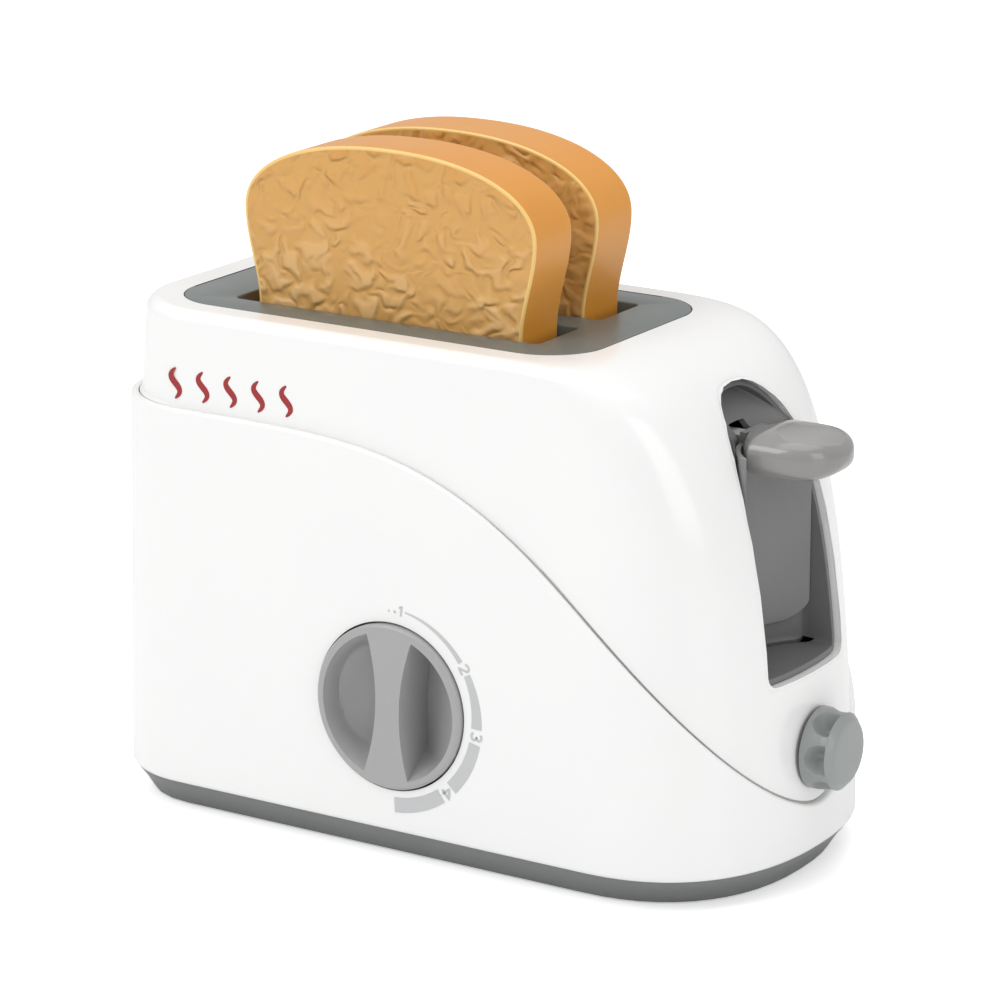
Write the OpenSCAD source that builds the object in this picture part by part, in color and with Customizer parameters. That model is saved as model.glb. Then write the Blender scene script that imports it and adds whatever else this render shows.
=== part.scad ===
// Toy pop-up toaster: white two-shell body, grey base, slot plate, lever, dial and end knob,
// two slices of toy bread on a sprung carriage, and a clockwork timer behind the dial.
// Millimetres. Origin on the floor at mid-length, +X to the lever end, -Y the dial side, +Z up.

/* [Body] */
// Length of the body at its foot
body_l = 200; // [180:1:230]
// Width of the body at its foot
body_w = 103.7; // [98:0.1:120]
// Height of the roof
body_h = 140.7; // [134:0.1:160]
// Thickness of both white shells
wall = 2; // [1.6:0.1:2.6]
// Lean of the lower shell's walls, degrees
lower_lean = 0.73; // [0:0.01:2]
// Lean of the upper shell's walls, degrees
upper_lean = 2.94; // [0:0.01:4]
// How far the lower shell stands proud of the upper one
step_out = 2.5; // [1:0.1:3.5]
// Radius of the lower shell's rear corners
rear_r = 28.5; // [22:0.5:34]
// Length of the rounded lever end, at the foot
nose_l = 43.3; // [36:0.1:50]
// Squareness of the rounded lever end at the foot, 2 is an ellipse
nose_n = 2.36; // [2:0.01:3]
// Length of the rounded lever end, at the roof
nose_top_l = 25.2; // [20:0.1:32]
// Squareness of the lever end at the roof
nose_top_n = 4.28; // [3:0.01:5]
// How far the roof falls back from the lever end
roof_back = 58.6; // [50:0.1:60]
// Squareness of the roof's curve in side view
roof_n = 2.78; // [2.2:0.01:3.2]
// Radius of the rim round the roof
rim_r = 3.5; // [2:0.1:5]
// Height of the step between the shells at the rear
step_z = 113.8; // [106:0.1:118]
// Height of that step at the tip of the lever end
step_low_z = 19.2; // [17:0.1:22]
// Height that the upper shell reaches down inside the lower one
lip = 5; // [4:0.5:7]

/* [Base] */
// Height of the grey base band
base_h = 8; // [7:0.1:10]
// How far the band's top edge sits in from the shell
base_in_top = 1.2; // [0.6:0.1:2]
// How far the band's bottom edge sits in from the shell
base_in_foot = 6; // [4:0.1:8]
// Thickness of the base's floor
floor_t = 2.6; // [2.2:0.1:3.4]
// Radius of a rubber pad
pad_r = 6; // [4:0.5:7]
// Thickness of a rubber pad
pad_t = 1.4; // [1:0.1:1.8]

/* [Slots] */
// Length of the grey slot plate
plate_l = 130.7; // [126:0.1:134]
// Width of the slot plate
plate_w = 74; // [70:0.1:78]
// Place of the slot plate's middle along the body
plate_x = -18.65; // [-20:0.05:-17]
// Corner radius of the slot plate
plate_r = 16.3; // [12:0.1:18]
// Thickness of the slot plate
plate_t = 2; // [1.6:0.1:2.4]
// Length of a bread slot
slot_l = 97; // [96:0.5:99]
// Width of a bread slot
slot_w = 21; // [20:0.1:22]
// Distance of each slot's middle from the centre line
slot_y = 15.6; // [15:0.1:16]
// Place of the slots' middle along the body
slot_x = -18.5; // [-19.5:0.1:-17.5]
// Height at which the slot chutes end
chute_z = 106; // [104:0.5:112]
// Thickness of a chute's wall
chute_t = 1.5; // [1:0.1:1.8]

/* [Bread] */
// Half the width of a slice below its shoulders
slice_waist = 42; // [40:0.1:43]
// Half the width of a slice at its shoulders
slice_shoulder = 46.3; // [44.5:0.1:46.8]
// Height of a slice
slice_h = 92.6; // [88:0.1:96]
// Height of the shoulders above a slice's foot
slice_shoulder_h = 72; // [66:0.5:74]
// Thickness of a slice
slice_t = 18; // [16:0.1:18.6]
// Wall of the hollow slice
slice_wall = 1.8; // [1.2:0.1:2.4]
// Height that a slice can be lifted out by hand
slice_lift = 60; // [50:1:70]

/* [Carriage] */
// Height of the bread rack's upper face, lever up
rack_z = 93.8; // [93:0.1:96]
// Thickness of the rack
rack_t = 2.6; // [2:0.1:3.2]
// Travel of the lever
travel = 44; // [40:0.5:45]
// Radius of a guide rod
rod_r = 2; // [1.6:0.1:2.4]
// Distance of each guide rod from the centre line
rod_y = 14; // [12:0.5:16]
// Place of the guide rods along the body
rod_x = 52; // [51:0.5:53]
// Height of a carriage bush
bush_h = 14; // [12:0.5:16]
// Wall of a carriage bush
bush_t = 2.5; // [2:0.1:3]
// Radius of the lift spring's wire
wire_r = 0.5; // [0.4:0.05:0.6]
// Turns of a lift spring
spring_turns = 12; // [10:1:14]

/* [Lever] */
// Width of the lever's paddle
paddle_w = 28; // [24:0.5:30]
// Thickness of the paddle
paddle_t = 12; // [10:0.1:12.5]
// Height of the paddle's middle, lever up
paddle_z = 115.2; // [114.5:0.1:116]
// How far the paddle reaches beyond the lever end
paddle_out = 6.8; // [3:0.1:9]
// Half the width of the recess's opening
recess_w = 20; // [19:0.1:21]
// Height of the recess's sill
recess_z = 56; // [54:0.5:57]
// Height of the recess's crown
recess_top_z = 131; // [129:0.5:133]
// Thickness of the recess liner
liner_t = 1.6; // [1.2:0.1:2]
// Half the width of the lever's slot in the liner
stem_slot_w = 4; // [3.8:0.1:5]

/* [Dial] */
// Radius of the timer dial
dial_r = 22.8; // [21:0.1:24]
// Height of the dial's axis
dial_z = 43; // [42:0.5:44]
// How far the dial stands proud of the wall
dial_proud = 1.7; // [1:0.1:3]
// Depth of the dial's body
dial_d = 14; // [13:0.1:14.5]
// Depth of the finger pockets
pocket_d = 12; // [9:0.5:12]
// Width of the dial's rim
dial_rim = 2.2; // [1.6:0.1:3]
// Half the grip bar's width at the middle
grip_mid = 3.8; // [3.6:0.1:5]
// Half the grip bar's width at its ends
grip_end = 7; // [6:0.1:8.5]
// Radius of the timer's main arbor
arbor_r = 2.5; // [2.2:0.1:2.8]

/* [End knob] */
// Radius of the end knob's collar
knob_r = 11; // [10:0.1:12]
// Length that the end knob stands out
knob_l = 9.2; // [8:0.1:11]
// Height of the end knob's axis
knob_z = 35.6; // [34:0.1:37]
// Number of finger flutes
knob_flutes = 6; // [5:1:8]
// Radius of the end knob's shaft
shaft_r = 3; // [2.5:0.1:3.5]

/* [Timer] */
// Teeth of the main wheel
wheel_teeth = 48; // [44:4:48]
// Teeth of both pinions
pinion_teeth = 12; // [12:1:12]
// Module of the main wheel's mesh
wheel_m = 0.7; // [0.66:0.01:0.72]
// Teeth of the second wheel
second_teeth = 42; // [36:2:42]
// Module of the second wheel's mesh
second_m = 0.6; // [0.56:0.01:0.62]
// Thickness of a timer plate
tplate_t = 1.2; // [1:0.1:1.4]

/* [Fits] */
// Gap between pieces that are put together and don't move
seat_gap = 0.15; // [0.1:0.01:0.25]
// Radial gap of a shaft that turns or slides
run_gap = 0.06; // [0.03:0.01:0.1]
// Radius of a self-tapping screw's shank
screw_r = 1.25; // [1:0.05:1.4]

/* [Hidden] */
$fn = 48;
white = "#f4f4f2";
grey = "#8b8c8c";
dark = "#6a6c6b";
steel = "#b9bcc0";
brass = "#c9a14a";
bread = "#e0b070";

// ---- Form of the body: every wall is a plan outline whose sizes change with height ----
front_lean = 0.64;
tip_x = body_l / 2 + 1;
curve_z = 9;
front_out = 1.3;
paddle_tip_x = tip_x + paddle_out;
side_out = 1.5;
// The step's shape was read at these heights, so it scales with them
function lower_half(z) = body_w / 2 - tan(lower_lean) * (z - base_h);
function upper_half_raw(z) = lower_half(step_z) - step_out - tan(upper_lean) * (z - step_z);
function upper_half(z) = z < step_z ? min(lower_half(z) - side_out, upper_half_raw(z)) : upper_half_raw(z);
function lower_rear(z) = -body_l / 2 + tan(lower_lean) * (z - base_h);
function upper_rear(z) = lower_rear(min(z, step_z)) + step_out + tan(upper_lean) * max(z - step_z, 0);
function roof_u(z) = min(max((z - curve_z) / (body_h - curve_z), 0), 1);
function roof_drop(z) = roof_back * (1 - pow(1 - pow(roof_u(z), roof_n), 1 / roof_n));
function tip(z) = tip_x - tan(front_lean) * (z - base_h) - roof_drop(z);
function mix_up(z) = pow(min(z / body_h, 1), 5.4);
function nose_len(z) = nose_l + (nose_top_l - nose_l) * mix_up(z);
function nose_pow(z) = nose_n + (nose_top_n - nose_n) * mix_up(z);
function rim_in(z) = rim_r - sqrt(max(rim_r * rim_r - pow(max(z - body_h + rim_r, 0), 2), 0));

// Columns of a plan outline, anticlockwise from the tip: nose, side, rear corner, then mirrored
nose_cols = 14;
side_cols = 10;
corner_cols = 7;
half_cols = [for (i = [0 : nose_cols - 1]) [0, 90 * i / (nose_cols - 1)],
             for (i = [1 : side_cols - 1]) [1, i / side_cols],
             for (i = [0 : corner_cols - 1]) [2, 90 * i / (corner_cols - 1)]];
half_n = len(half_cols);
cols = concat([for (i = [0 : half_n - 1]) [half_cols[i][0], half_cols[i][1], 1]],
              [for (i = [half_n - 1 : -1 : 1]) [half_cols[i][0], half_cols[i][1], -1]]);
cn = len(cols);

// Point of one column on an outline with these sizes
function nose_pt(c, front, half, len, n) =
    [front - len + len * pow(max(cos(c[1]), 0), 2 / n), c[2] * half * pow(sin(c[1]), 2 / n)];
function corner_pt(c, rear, half, r) =
    [rear + r - r * sin(c[1]), c[2] * (half - r + r * cos(c[1]))];
function outline_pt(c, rear, front, half, r, len, n) =
    c[0] == 0 ? nose_pt(c, front, half, len, n)
    : c[0] == 1 ? [(front - len) * (1 - c[1]) + (rear + r) * c[1], c[2] * half]
    : corner_pt(c, rear, half, r);
// Upper shell's outline at height z, taken in by t
function upper_pt(c, z, t) = let(q = min(z + t, body_h), e = t + rim_in(q))
    concat(outline_pt(c, upper_rear(z) + e, tip(q) - t, upper_half(z) - e, rear_r - step_out / 2 - e,
        nose_len(q) - t / 2, nose_pow(q)), [z]);
// Lower shell's outline at height z, taken in by t
foot_r = 1.6;
function foot_in(z) = base_in_top / foot_r * (foot_r - sqrt(max(foot_r * foot_r
    - pow(max(base_h + foot_r - z, 0), 2), 0)));
function lower_pt(c, z, t) = concat(outline_pt(c, lower_rear(z) + t, tip(z) + front_out - t,
    lower_half(z) - t, rear_r - t, nose_l + 0.4 - t / 2, nose_n), [z]);

// The step between the shells: its height falls with the distance run along the wall
function foot_xy(i) = let(p = lower_pt(cols[i], 30, 0)) [p[0], p[1]];
function run(i) = i == 0 ? 0 : run(i - 1) + norm(foot_xy(i) - foot_xy(i - 1));
runs = [for (i = [0 : half_n - 1]) run(i)];
tip_round = 5;
side_run = runs[nose_cols - 1] + foot_xy(nose_cols - 1)[0] + 15;
function ease(t) = pow(t, 3.824) / (pow(t, 3.824) + pow(1 - t, 1.42));
function step_s(d) = let(t = (side_run - norm([d, tip_round]) + 60) / (side_run + 71.8))
    ease(min(max(t, 0.0001), 0.9999));
function step_at(i) = let(j = i < half_n ? i : 2 * half_n - 1 - i)
    step_z + 0.4 - (step_z - step_low_z + 2.4) * step_s(runs[j]);

// Height of the step beside any point of a wall: by x along the sides, by bearing round the nose
key_x = tip_x - nose_l - 12.7;
function key(p) = p[0] < key_x ? 90 + key_x - p[0] : atan2(abs(p[1]), p[0] - key_x);
step_table = [for (i = [0 : half_n - 1]) [key(lower_pt(cols[i], step_at(i), 0)), step_at(i)]];
function step_over(p) = lookup(key(p), step_table);
function above(i, d, t) = let(a = upper_pt(cols[i], step_at(i) + d, t),
    b = upper_pt(cols[i], step_over(a) + d, t), c = upper_pt(cols[i], step_over(b) + d, t)) step_over(c) + d;

// Closed solid from rings of points; the first and last ring are filled
function side_faces(n, m, last) = [for (j = [0 : last], i = [0 : n - 1])
    let(a = j * n, b = ((j + 1) % m) * n, k = (i + 1) % n)
    each [[a + i, b + i, b + k], [a + i, b + k, a + k]]];
function low_cap(n) = [for (i = [0 : floor(n / 2) - 1]) each [
    [i, i + 1, (n - i) % n], [i + 1, n - i - 1, (n - i) % n]]];
function clean(faces) = [for (f = faces) if (f[0] != f[1] && f[1] != f[2] && f[0] != f[2]) f];
function turned(faces, by) = [for (f = faces) [f[0] + by, f[2] + by, f[1] + by]];
module loft(rings) {
    n = len(rings[0]);
    m = len(rings);
    polyhedron([for (r = rings) each r],
        concat(side_faces(n, m, m - 2), clean(low_cap(n)), turned(clean(low_cap(n)), (m - 1) * n)));
}
// Closed solid whose last ring joins its first
module hoop(rings) {
    n = len(rings[0]);
    m = len(rings);
    polyhedron([for (r = rings) each r], side_faces(n, m, m - 1));
}
lip_in = wall + 2 * seat_gap;
// Upper shell: down its inside from the ceiling, round its lip and up its outside
module upper_skin() {
    levels = 12;
    inner = 8;
    low = [for (i = [0 : cn - 1]) above(i, 2.6, wall)];
    high = [for (i = [0 : cn - 1]) above(i, 0.9, 0)];
    loft(concat(
        [for (j = [inner : -1 : 0]) let(f = 1 - pow(1 - j / inner, 2.2)) [for (i = [0 : cn - 1])
            upper_pt(cols[i], low[i] + (body_h - wall - low[i]) * f, wall)]],
        [[for (i = [0 : cn - 1]) lower_pt(cols[i], step_at(i) + 1.5, lip_in + wall)]],
        [[for (i = [0 : cn - 1]) lower_pt(cols[i], step_at(i) - lip, lip_in + wall)]],
        [[for (i = [0 : cn - 1]) lower_pt(cols[i], step_at(i) - lip, lip_in)]],
        [[for (i = [0 : cn - 1]) lower_pt(cols[i], step_at(i) + 0.3, lip_in)]],
        [for (j = [0 : levels]) let(f = 1 - pow(1 - j / levels, 2.2)) [for (i = [0 : cn - 1])
            upper_pt(cols[i], high[i] + (body_h - high[i]) * f, 0)]]));
}
// Upper shell's form, whole, taken in by t and starting at height z0
module upper_core(t, z0, levels) {
    loft([for (j = [0 : levels]) let(f = 1 - pow(1 - j / levels, 1.8))
        [for (i = [0 : cn - 1]) upper_pt(cols[i], z0 + (body_h - t - z0) * f, t)]]);
}
// Lower shell: up its outside from the foot, over its flat top edge and down its inside
module lower_skin() {
    levels = 9;
    inner = 6;
    foot = base_h + foot_r;
    hoop(concat(
        [for (j = [0 : 2]) let(z = base_h + foot_r * j / 3)
            [for (i = [0 : cn - 1]) lower_pt(cols[i], z, foot_in(z))]],
        [for (j = [0 : levels])
            [for (i = [0 : cn - 1]) lower_pt(cols[i], foot + (step_at(i) - foot) * j / levels, 0)]],
        [for (j = [inner : -1 : 0])
            [for (i = [0 : cn - 1]) lower_pt(cols[i], base_h + (step_at(i) - base_h) * j / inner, wall)]]));
}
module lower_core(t, z0, z1, levels) {
    loft([for (j = [0 : levels]) [for (i = [0 : cn - 1])
        lower_pt(cols[i], z0 + (z1 - z0) * j / levels, t)]]);
}

// ---- Shared shapes and places ----
module block(x0, x1, y0, y1, z0, z1) {
    translate([x0, y0, z0]) cube([x1 - x0, y1 - y0, z1 - z0]);
}
// Round bar along Y at (x, z)
module bar_y(x, z, y0, y1, r) {
    translate([x, y1, z]) rotate([90, 0, 0]) cylinder(h = y1 - y0, r = r);
}
module bar_x(y, z, x0, x1, r) {
    translate([x0, y, z]) rotate([0, 90, 0]) cylinder(h = x1 - x0, r = r);
}
// Flat outline drawn in X and Z, thickened from y0 to y1
module flat_y(y0, y1) {
    translate([0, y1, 0]) rotate([90, 0, 0]) linear_extrude(y1 - y0) children();
}
module round_rect(x0, x1, y0, y1, r) {
    translate([x0 + r, y0]) square([x1 - x0 - 2 * r, y1 - y0]);
    translate([x0, y0 + r]) square([x1 - x0, y1 - y0 - 2 * r]);
    for (x = [x0 + r, x1 - r], y = [y0 + r, y1 - r]) translate([x, y]) circle(r);
}
module plate_shape(g) {
    round_rect(plate_x - plate_l / 2 - g, plate_x + plate_l / 2 + g, -plate_w / 2 - g, plate_w / 2 + g,
        plate_r + g);
}
post_x = [20 - body_l / 2, body_l / 2 - 40];
post_y = [body_w / 2 - 17.85, body_w / 2 - 15.85];
post_spots = [for (i = [0, 1], s = [-1, 1]) [post_x[i], s * post_y[i]]];
lug_z = 12.2;
lug_t = 2.4;
post_r = 4;
bore_gap = 0.1;
screw_top = 30;
rod_z = 4.2;
rod_top = 134;
rod_boss = 124;
spring_z = 14;
rod_gap = 0.05;
rod_spots = [[rod_x, -rod_y], [rod_x, rod_y]];

// ---- Recess in the lever end ----
arch_z = 89.6;
arch_n = 2.67;
arch_steps = 20;
function arch_pt(a, w, h) = [w * sign(cos(a)) * pow(abs(cos(a)), 2 / arch_n),
    arch_z + h * pow(sin(a), 2 / arch_n)];
corner_r = 3.2;
module arch_shape(g) {
    w = recess_w - g;
    r = max(corner_r - g, 0.5);
    low = recess_z + g;
    polygon(concat([for (i = [0 : 4]) [w - r + r * sin(22.5 * i), low + r - r * cos(22.5 * i)]],
        [for (i = [0 : arch_steps]) arch_pt(180 * i / arch_steps, w, recess_top_z - arch_z - g)],
        [for (i = [4 : -1 : 0]) [-w + r - r * sin(22.5 * i), low + r - r * cos(22.5 * i)]]));
}
// Arch outline drawn in Y and Z, thickened from x0 to x1
module arch_x(x0, x1, g) {
    translate([x0, 0, 0]) rotate([90, 0, 90]) linear_extrude(x1 - x0) arch_shape(g);
}
rim_t = 1.6;
rim_d = 2.4;
liner_back = tip_x - 38.6;
trough_x = tip_x + 1.3;
trough_r = 24.8;
shield_t = 1.5;
shield_r = trough_r - 0.6 - shield_t;
shield_z = recess_z + 7.7;
arm_w = 3;
arm_h = 6;
arm_z = paddle_z - arm_h / 2 - 0.4;
shield_top = arm_z + arm_h + 2.8;
lean_z = arm_z + 5.2;
arm_x = tip_x - 12;
lever_x = tip_x - 20.2;

// ---- Timer layout: planes across Y, counted from the dial's front ----
wall_y = -lower_half(dial_z);
dial_y = wall_y - dial_proud;
dial_back = dial_y + dial_d;
front_y = dial_back + 0.5;
back_y = front_y + tplate_t + 7.6;
head_h = 1.2;
latch_y = back_y + tplate_t + head_h + 0.3;
latch_t = 1.3;
pillar_x = 24;
pillar_z = 22;
pillar_spots = [for (s = [-1, 1], t = [-1, 1]) [s * pillar_x, dial_z + t * pillar_z]];
second_d = wheel_m * (wheel_teeth + pinion_teeth) / 2;
second_spot = [-second_d, dial_z];
fly_d = second_m * (second_teeth + pinion_teeth) / 2;
fly_turn = 70;
fly_spot = [second_spot[0] + fly_d * cos(fly_turn), dial_z + fly_d * sin(fly_turn)];
pin_r = 1;
tscrew_r = 0.9;
latch_spot = [31, dial_z + 24.6];
latch_tip = [3, dial_z + 14.2];
latch_bar = 1.5;
cam_high = 12.4;
cam_low = 8.2;
riser_x = liner_back - 1.6;
tab_x = 36;
tab_w = 4;

// ---- Housings ----
module upper_housing() color(white) {
    difference() {
        union() {
            upper_skin();
            intersection() {
                upper_core(wall / 2, lug_z, 9);
                union() {
                    for (p = post_spots) translate([p[0], p[1], lug_z + lug_t + seat_gap])
                        cylinder(h = body_h, r = post_r);
                    for (p = rod_spots) translate([p[0], p[1], rod_boss]) cylinder(h = 30, r = post_r);
                    translate([0, 0, body_h - 2 * plate_t]) linear_extrude(10) plate_shape(2);
                    bar_x(0, knob_z, tip_x - 5.5, tip_x + 4, 6.5);
                }
            }
            difference() {
                intersection() {
                    upper_core(0.05, 20, 12);
                    arch_x(liner_back + 3, tip_x + 9, -rim_t);
                }
                upper_core(rim_d, 15, 9);
            }
        }
        translate([0, 0, body_h - plate_t - seat_gap]) linear_extrude(10) plate_shape(seat_gap);
        translate([0, 0, body_h - 12]) linear_extrude(20) plate_shape(-3);
        arch_x(liner_back - 6, tip_x + 12, 0);
        bar_x(0, knob_z, tip_x - 11, tip_x + 9, shaft_r + run_gap);
        for (p = post_spots) translate([p[0], p[1], 0]) cylinder(h = screw_top + 2, r = screw_r + bore_gap);
        for (p = rod_spots) translate([p[0], p[1], 100])
            cylinder(h = rod_top + 0.2 - 100, r = rod_r + rod_gap);
    }
}
module lower_housing() color(white) {
    difference() {
        union() {
            lower_skin();
            intersection() {
                lower_core(wall / 2, base_h + 1, 72, 8);
                for (p = post_spots) translate([0, 0, lug_z]) {
                    translate([p[0], p[1], 0]) cylinder(h = lug_t, r = post_r + 1.5);
                    s = sign(p[1]);
                    translate([p[0] - 4, s > 0 ? p[1] : -60, 0]) cube([8, 60 - abs(p[1]), lug_t]);
                }
            }
            for (p = pillar_spots) bar_y(p[0], p[1], wall_y + wall / 2, front_y - seat_gap, 3);
        }
        bar_y(0, dial_z, dial_y - 5, dial_back + 3, dial_r + 0.5);
        for (p = post_spots) translate([p[0], p[1], 0]) cylinder(h = 20, r = screw_r + bore_gap);
        for (p = pillar_spots) bar_y(p[0], p[1], wall_y + wall, front_y, tscrew_r + bore_gap);
    }
}
function band_in(z) = base_in_foot + (base_in_top - base_in_foot) * z / base_h;
function band_ring(z, t) = [for (c = cols) let(p = lower_pt(c, base_h, t)) [p[0], p[1], z]];
module base_plate() color(dark) {
    top = base_h - seat_gap;
    spigot = wall + seat_gap;
    difference() {
        union() {
            difference() {
                loft([for (s = [[0.5, band_in(0) - 0.3], [top, base_in_top], [top, spigot],
                    [lug_z - 0.4, spigot]]) band_ring(s[0], s[1])]);
                loft([for (s = [[0.5 + floor_t, band_in(3.1) + 2], [top, spigot + 1.6],
                    [lug_z, spigot + 1.6]]) band_ring(s[0], s[1])]);
            }
            for (p = post_spots) translate([p[0], p[1], 1]) cylinder(h = lug_z - seat_gap - 1, r = 5);
            for (p = rod_spots) translate([p[0], p[1], 1]) cylinder(h = spring_z - 1.1, r = 5);
            for (k = [-0.225, -0.05, 0.125]) block(k * body_l - 0.8, k * body_l + 0.8, 12 - body_w / 2,
                body_w / 2 - 12, 1, 5.5);
            block(28 - body_l / 2, body_l / 2 - 54, -0.8, 0.8, 1, 5.5);
        }
        for (p = post_spots) translate([p[0], p[1], 0]) {
            cylinder(h = 20, r = screw_r + bore_gap);
            cylinder(h = 5, r = 3);
        }
        for (p = rod_spots) translate([p[0], p[1], rod_z - 0.1]) cylinder(h = 20, r = rod_r + rod_gap);
        for (p = pad_spots) translate([p[0], p[1], -1]) cylinder(h = 1 + pad_t + 0.1, r = pad_r + seat_gap);
    }
}
pad_spots = concat([[0, 0]],
    [for (x = [40 - body_l / 2, body_l / 2 - 58], s = [-1, 1]) [x, s * (body_w / 2 - 16.85)]]);
module rubber_pads() color("#3a3a3a")
    for (p = pad_spots) translate([p[0], p[1], 0]) cylinder(h = pad_t, r = pad_r);
module base_screws() color(steel)
    for (p = post_spots) translate([p[0], p[1], 0]) difference() {
        union() {
            translate([0, 0, 2.8]) cylinder(h = 2.1, r = 2.6);
            translate([0, 0, 4.8]) cylinder(h = screw_top - 4.8, r = screw_r);
        }
        translate([-1.8, -0.35, 2]) cube([3.6, 0.7, 1.8]);
        translate([-0.35, -1.8, 2]) cube([0.7, 3.6, 1.8]);
    }
module slot_plate() color(grey) {
    x0 = slot_x - slot_l / 2;
    x1 = slot_x + slot_l / 2;
    difference() {
        union() {
            translate([0, 0, body_h - plate_t]) linear_extrude(plate_t) plate_shape(0);
            for (s = [-1, 1]) translate([0, 0, chute_z]) linear_extrude(body_h - chute_z - plate_t / 2)
                round_rect(x0 - chute_t, x1 + chute_t, s * slot_y - slot_w / 2 - chute_t,
                    s * slot_y + slot_w / 2 + chute_t, 3.5);
        }
        for (s = [-1, 1]) translate([0, 0, chute_z - 1]) linear_extrude(60)
            round_rect(x0, x1, s * slot_y - slot_w / 2, s * slot_y + slot_w / 2, 2);
    }
}
// Everything ahead of a round upright wall of radius r about the trough's axis
module ahead(r, z0, z1) union() {
    translate([trough_x, 0, z0]) cylinder(h = z1 - z0, r = r, $fn = 120);
    block(trough_x, trough_x + 30, -r, r, z0, z1);
}
// The trough: its wall stands upright to lean_z and leans back above it
module trough(r) union() {
    ahead(r, recess_z - 5, lean_z + 7);
    translate([trough_x - trough_r, 0, lean_z]) rotate([0, -45, 0]) translate([trough_r, 0, -15]) union() {
        cylinder(h = 55, r = r, $fn = 120);
        block(0, 30, -r, r, 0, 55);
    }
}
module lever_recess() color(dark) {
    g = seat_gap;
    low = recess_z + g;
    wide = recess_w - g - liner_t;
    difference() {
        intersection() {
            arch_x(liner_back, tip_x + 9, g);
            trough(trough_r + liner_t);
        }
        intersection() {
            arch_x(liner_back, tip_x + 10, g + liner_t);
            trough(trough_r);
        }
        intersection() {
            block(liner_back, trough_x, -wide, wide, low - 1, low + liner_t + 1);
            difference() {
                ahead(trough_r, low - 2, low + 5);
                ahead(shield_r - 0.5, low - 3, low + 6);
            }
        }
        block(liner_back, trough_x - 15, -stem_slot_w, stem_slot_w, arm_z - travel - 2.5,
            arm_z + arm_h + 2.5);
        difference() {
            block(liner_back - 9, tip_x + 19, -40, 40, 20, body_h + 9);
            upper_core(rim_d - 0.2, 15, 12);
        }
    }
}
module guide_rods() color(steel)
    for (p = rod_spots) translate([p[0], p[1], rod_z]) cylinder(h = rod_top - rod_z, r = rod_r);
bush_z = rack_z - 9.8;
bush_top = bush_z + bush_h;
clip_z = bush_top + 0.3;
module stop_clips() color(steel)
    for (p = rod_spots) translate([p[0], p[1], clip_z]) difference() {
        cylinder(h = 2, r = post_r);
        translate([0, 0, -1]) cylinder(h = 5, r = rod_r + rod_gap);
        translate([-1.2, 0, -1]) cube([2.4, 10, 5]);
    }

// One coil spring standing on z = 0
module coil(h, r, wire, turns) {
    steps = 10;
    sides = 5;
    n = turns * steps;
    lift = (h - 2 * wire) / n;
    pts = [for (i = [0 : n], k = [0 : sides - 1]) let(a = 360 * i / steps, b = 360 * k / sides)
        [(r + wire * cos(b)) * cos(a), (r + wire * cos(b)) * sin(a), wire + lift * i + wire * sin(b)]];
    polyhedron(pts, concat(
        [for (i = [0 : n - 1], k = [0 : sides - 1]) let(q = (k + 1) % sides) each [
            [i * sides + k, (i + 1) * sides + q, (i + 1) * sides + k],
            [i * sides + k, i * sides + q, (i + 1) * sides + q]]],
        [for (k = [1 : sides - 2]) [0, k + 1, k]],
        [for (k = [1 : sides - 2]) [n * sides, n * sides + k, n * sides + k + 1]]));
}
module lift_springs() color(steel)
    for (p = rod_spots) translate([p[0], p[1], spring_z])
        coil(bush_z - spring_z - 0.1, rod_r + 1.1, wire_r, spring_turns);

// ---- Carriage and lever ----
module carriage() color("#c9c9c6") {
    low = rack_z - rack_t - 2;
    difference() {
        union() {
            for (s = [-1, 1]) difference() {
                block(slot_x - 42, slot_x + 44, s * slot_y - 7.5, s * slot_y + 7.5, rack_z - rack_t, rack_z);
                for (k = [0 : 3]) block(slot_x - 38 + 20 * k, slot_x - 24 + 20 * k, s * slot_y - 4.5,
                    s * slot_y + 4.5, 0, 200);
            }
            for (x = [slot_x - 40, slot_x, slot_x + 40])
                block(x - 2, x + 2, -slot_y, slot_y, low, rack_z - 0.6);
            block(slot_x + 34, rod_x + 6, -rod_y - 5, rod_y + 5, low, rack_z);
            block(tab_x, tab_x + tab_w, latch_y - 0.2, -rod_y, rack_z - rack_t, rack_z);
            for (p = rod_spots) translate([p[0], p[1], bush_z]) cylinder(h = bush_h, r = rod_r + bush_t);
            block(rod_x + 4, riser_x, -5, 5, low, rack_z);
            block(riser_x - 3.6, riser_x, -5, 5, low, arm_z + arm_h);
            block(riser_x - 3.6, arm_x, -arm_w, arm_w, arm_z, arm_z + arm_h);
            for (s = [-4, 4]) flat_y(s - 1, s + 1)
                polygon([[riser_x - 10, rack_z - 1], [riser_x - 2, rack_z - 1], [riser_x - 2, arm_z]]);
        }
        for (p = rod_spots) translate([p[0], p[1], 0]) cylinder(h = 200, r = rod_r + run_gap);
        bar_y(pin_x, arm_z + arm_h / 2, -10, 10, 1.05);
    }
}
pin_x = tip_x - 15;
lever_sides = 24;
lever_runs = 16;
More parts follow.
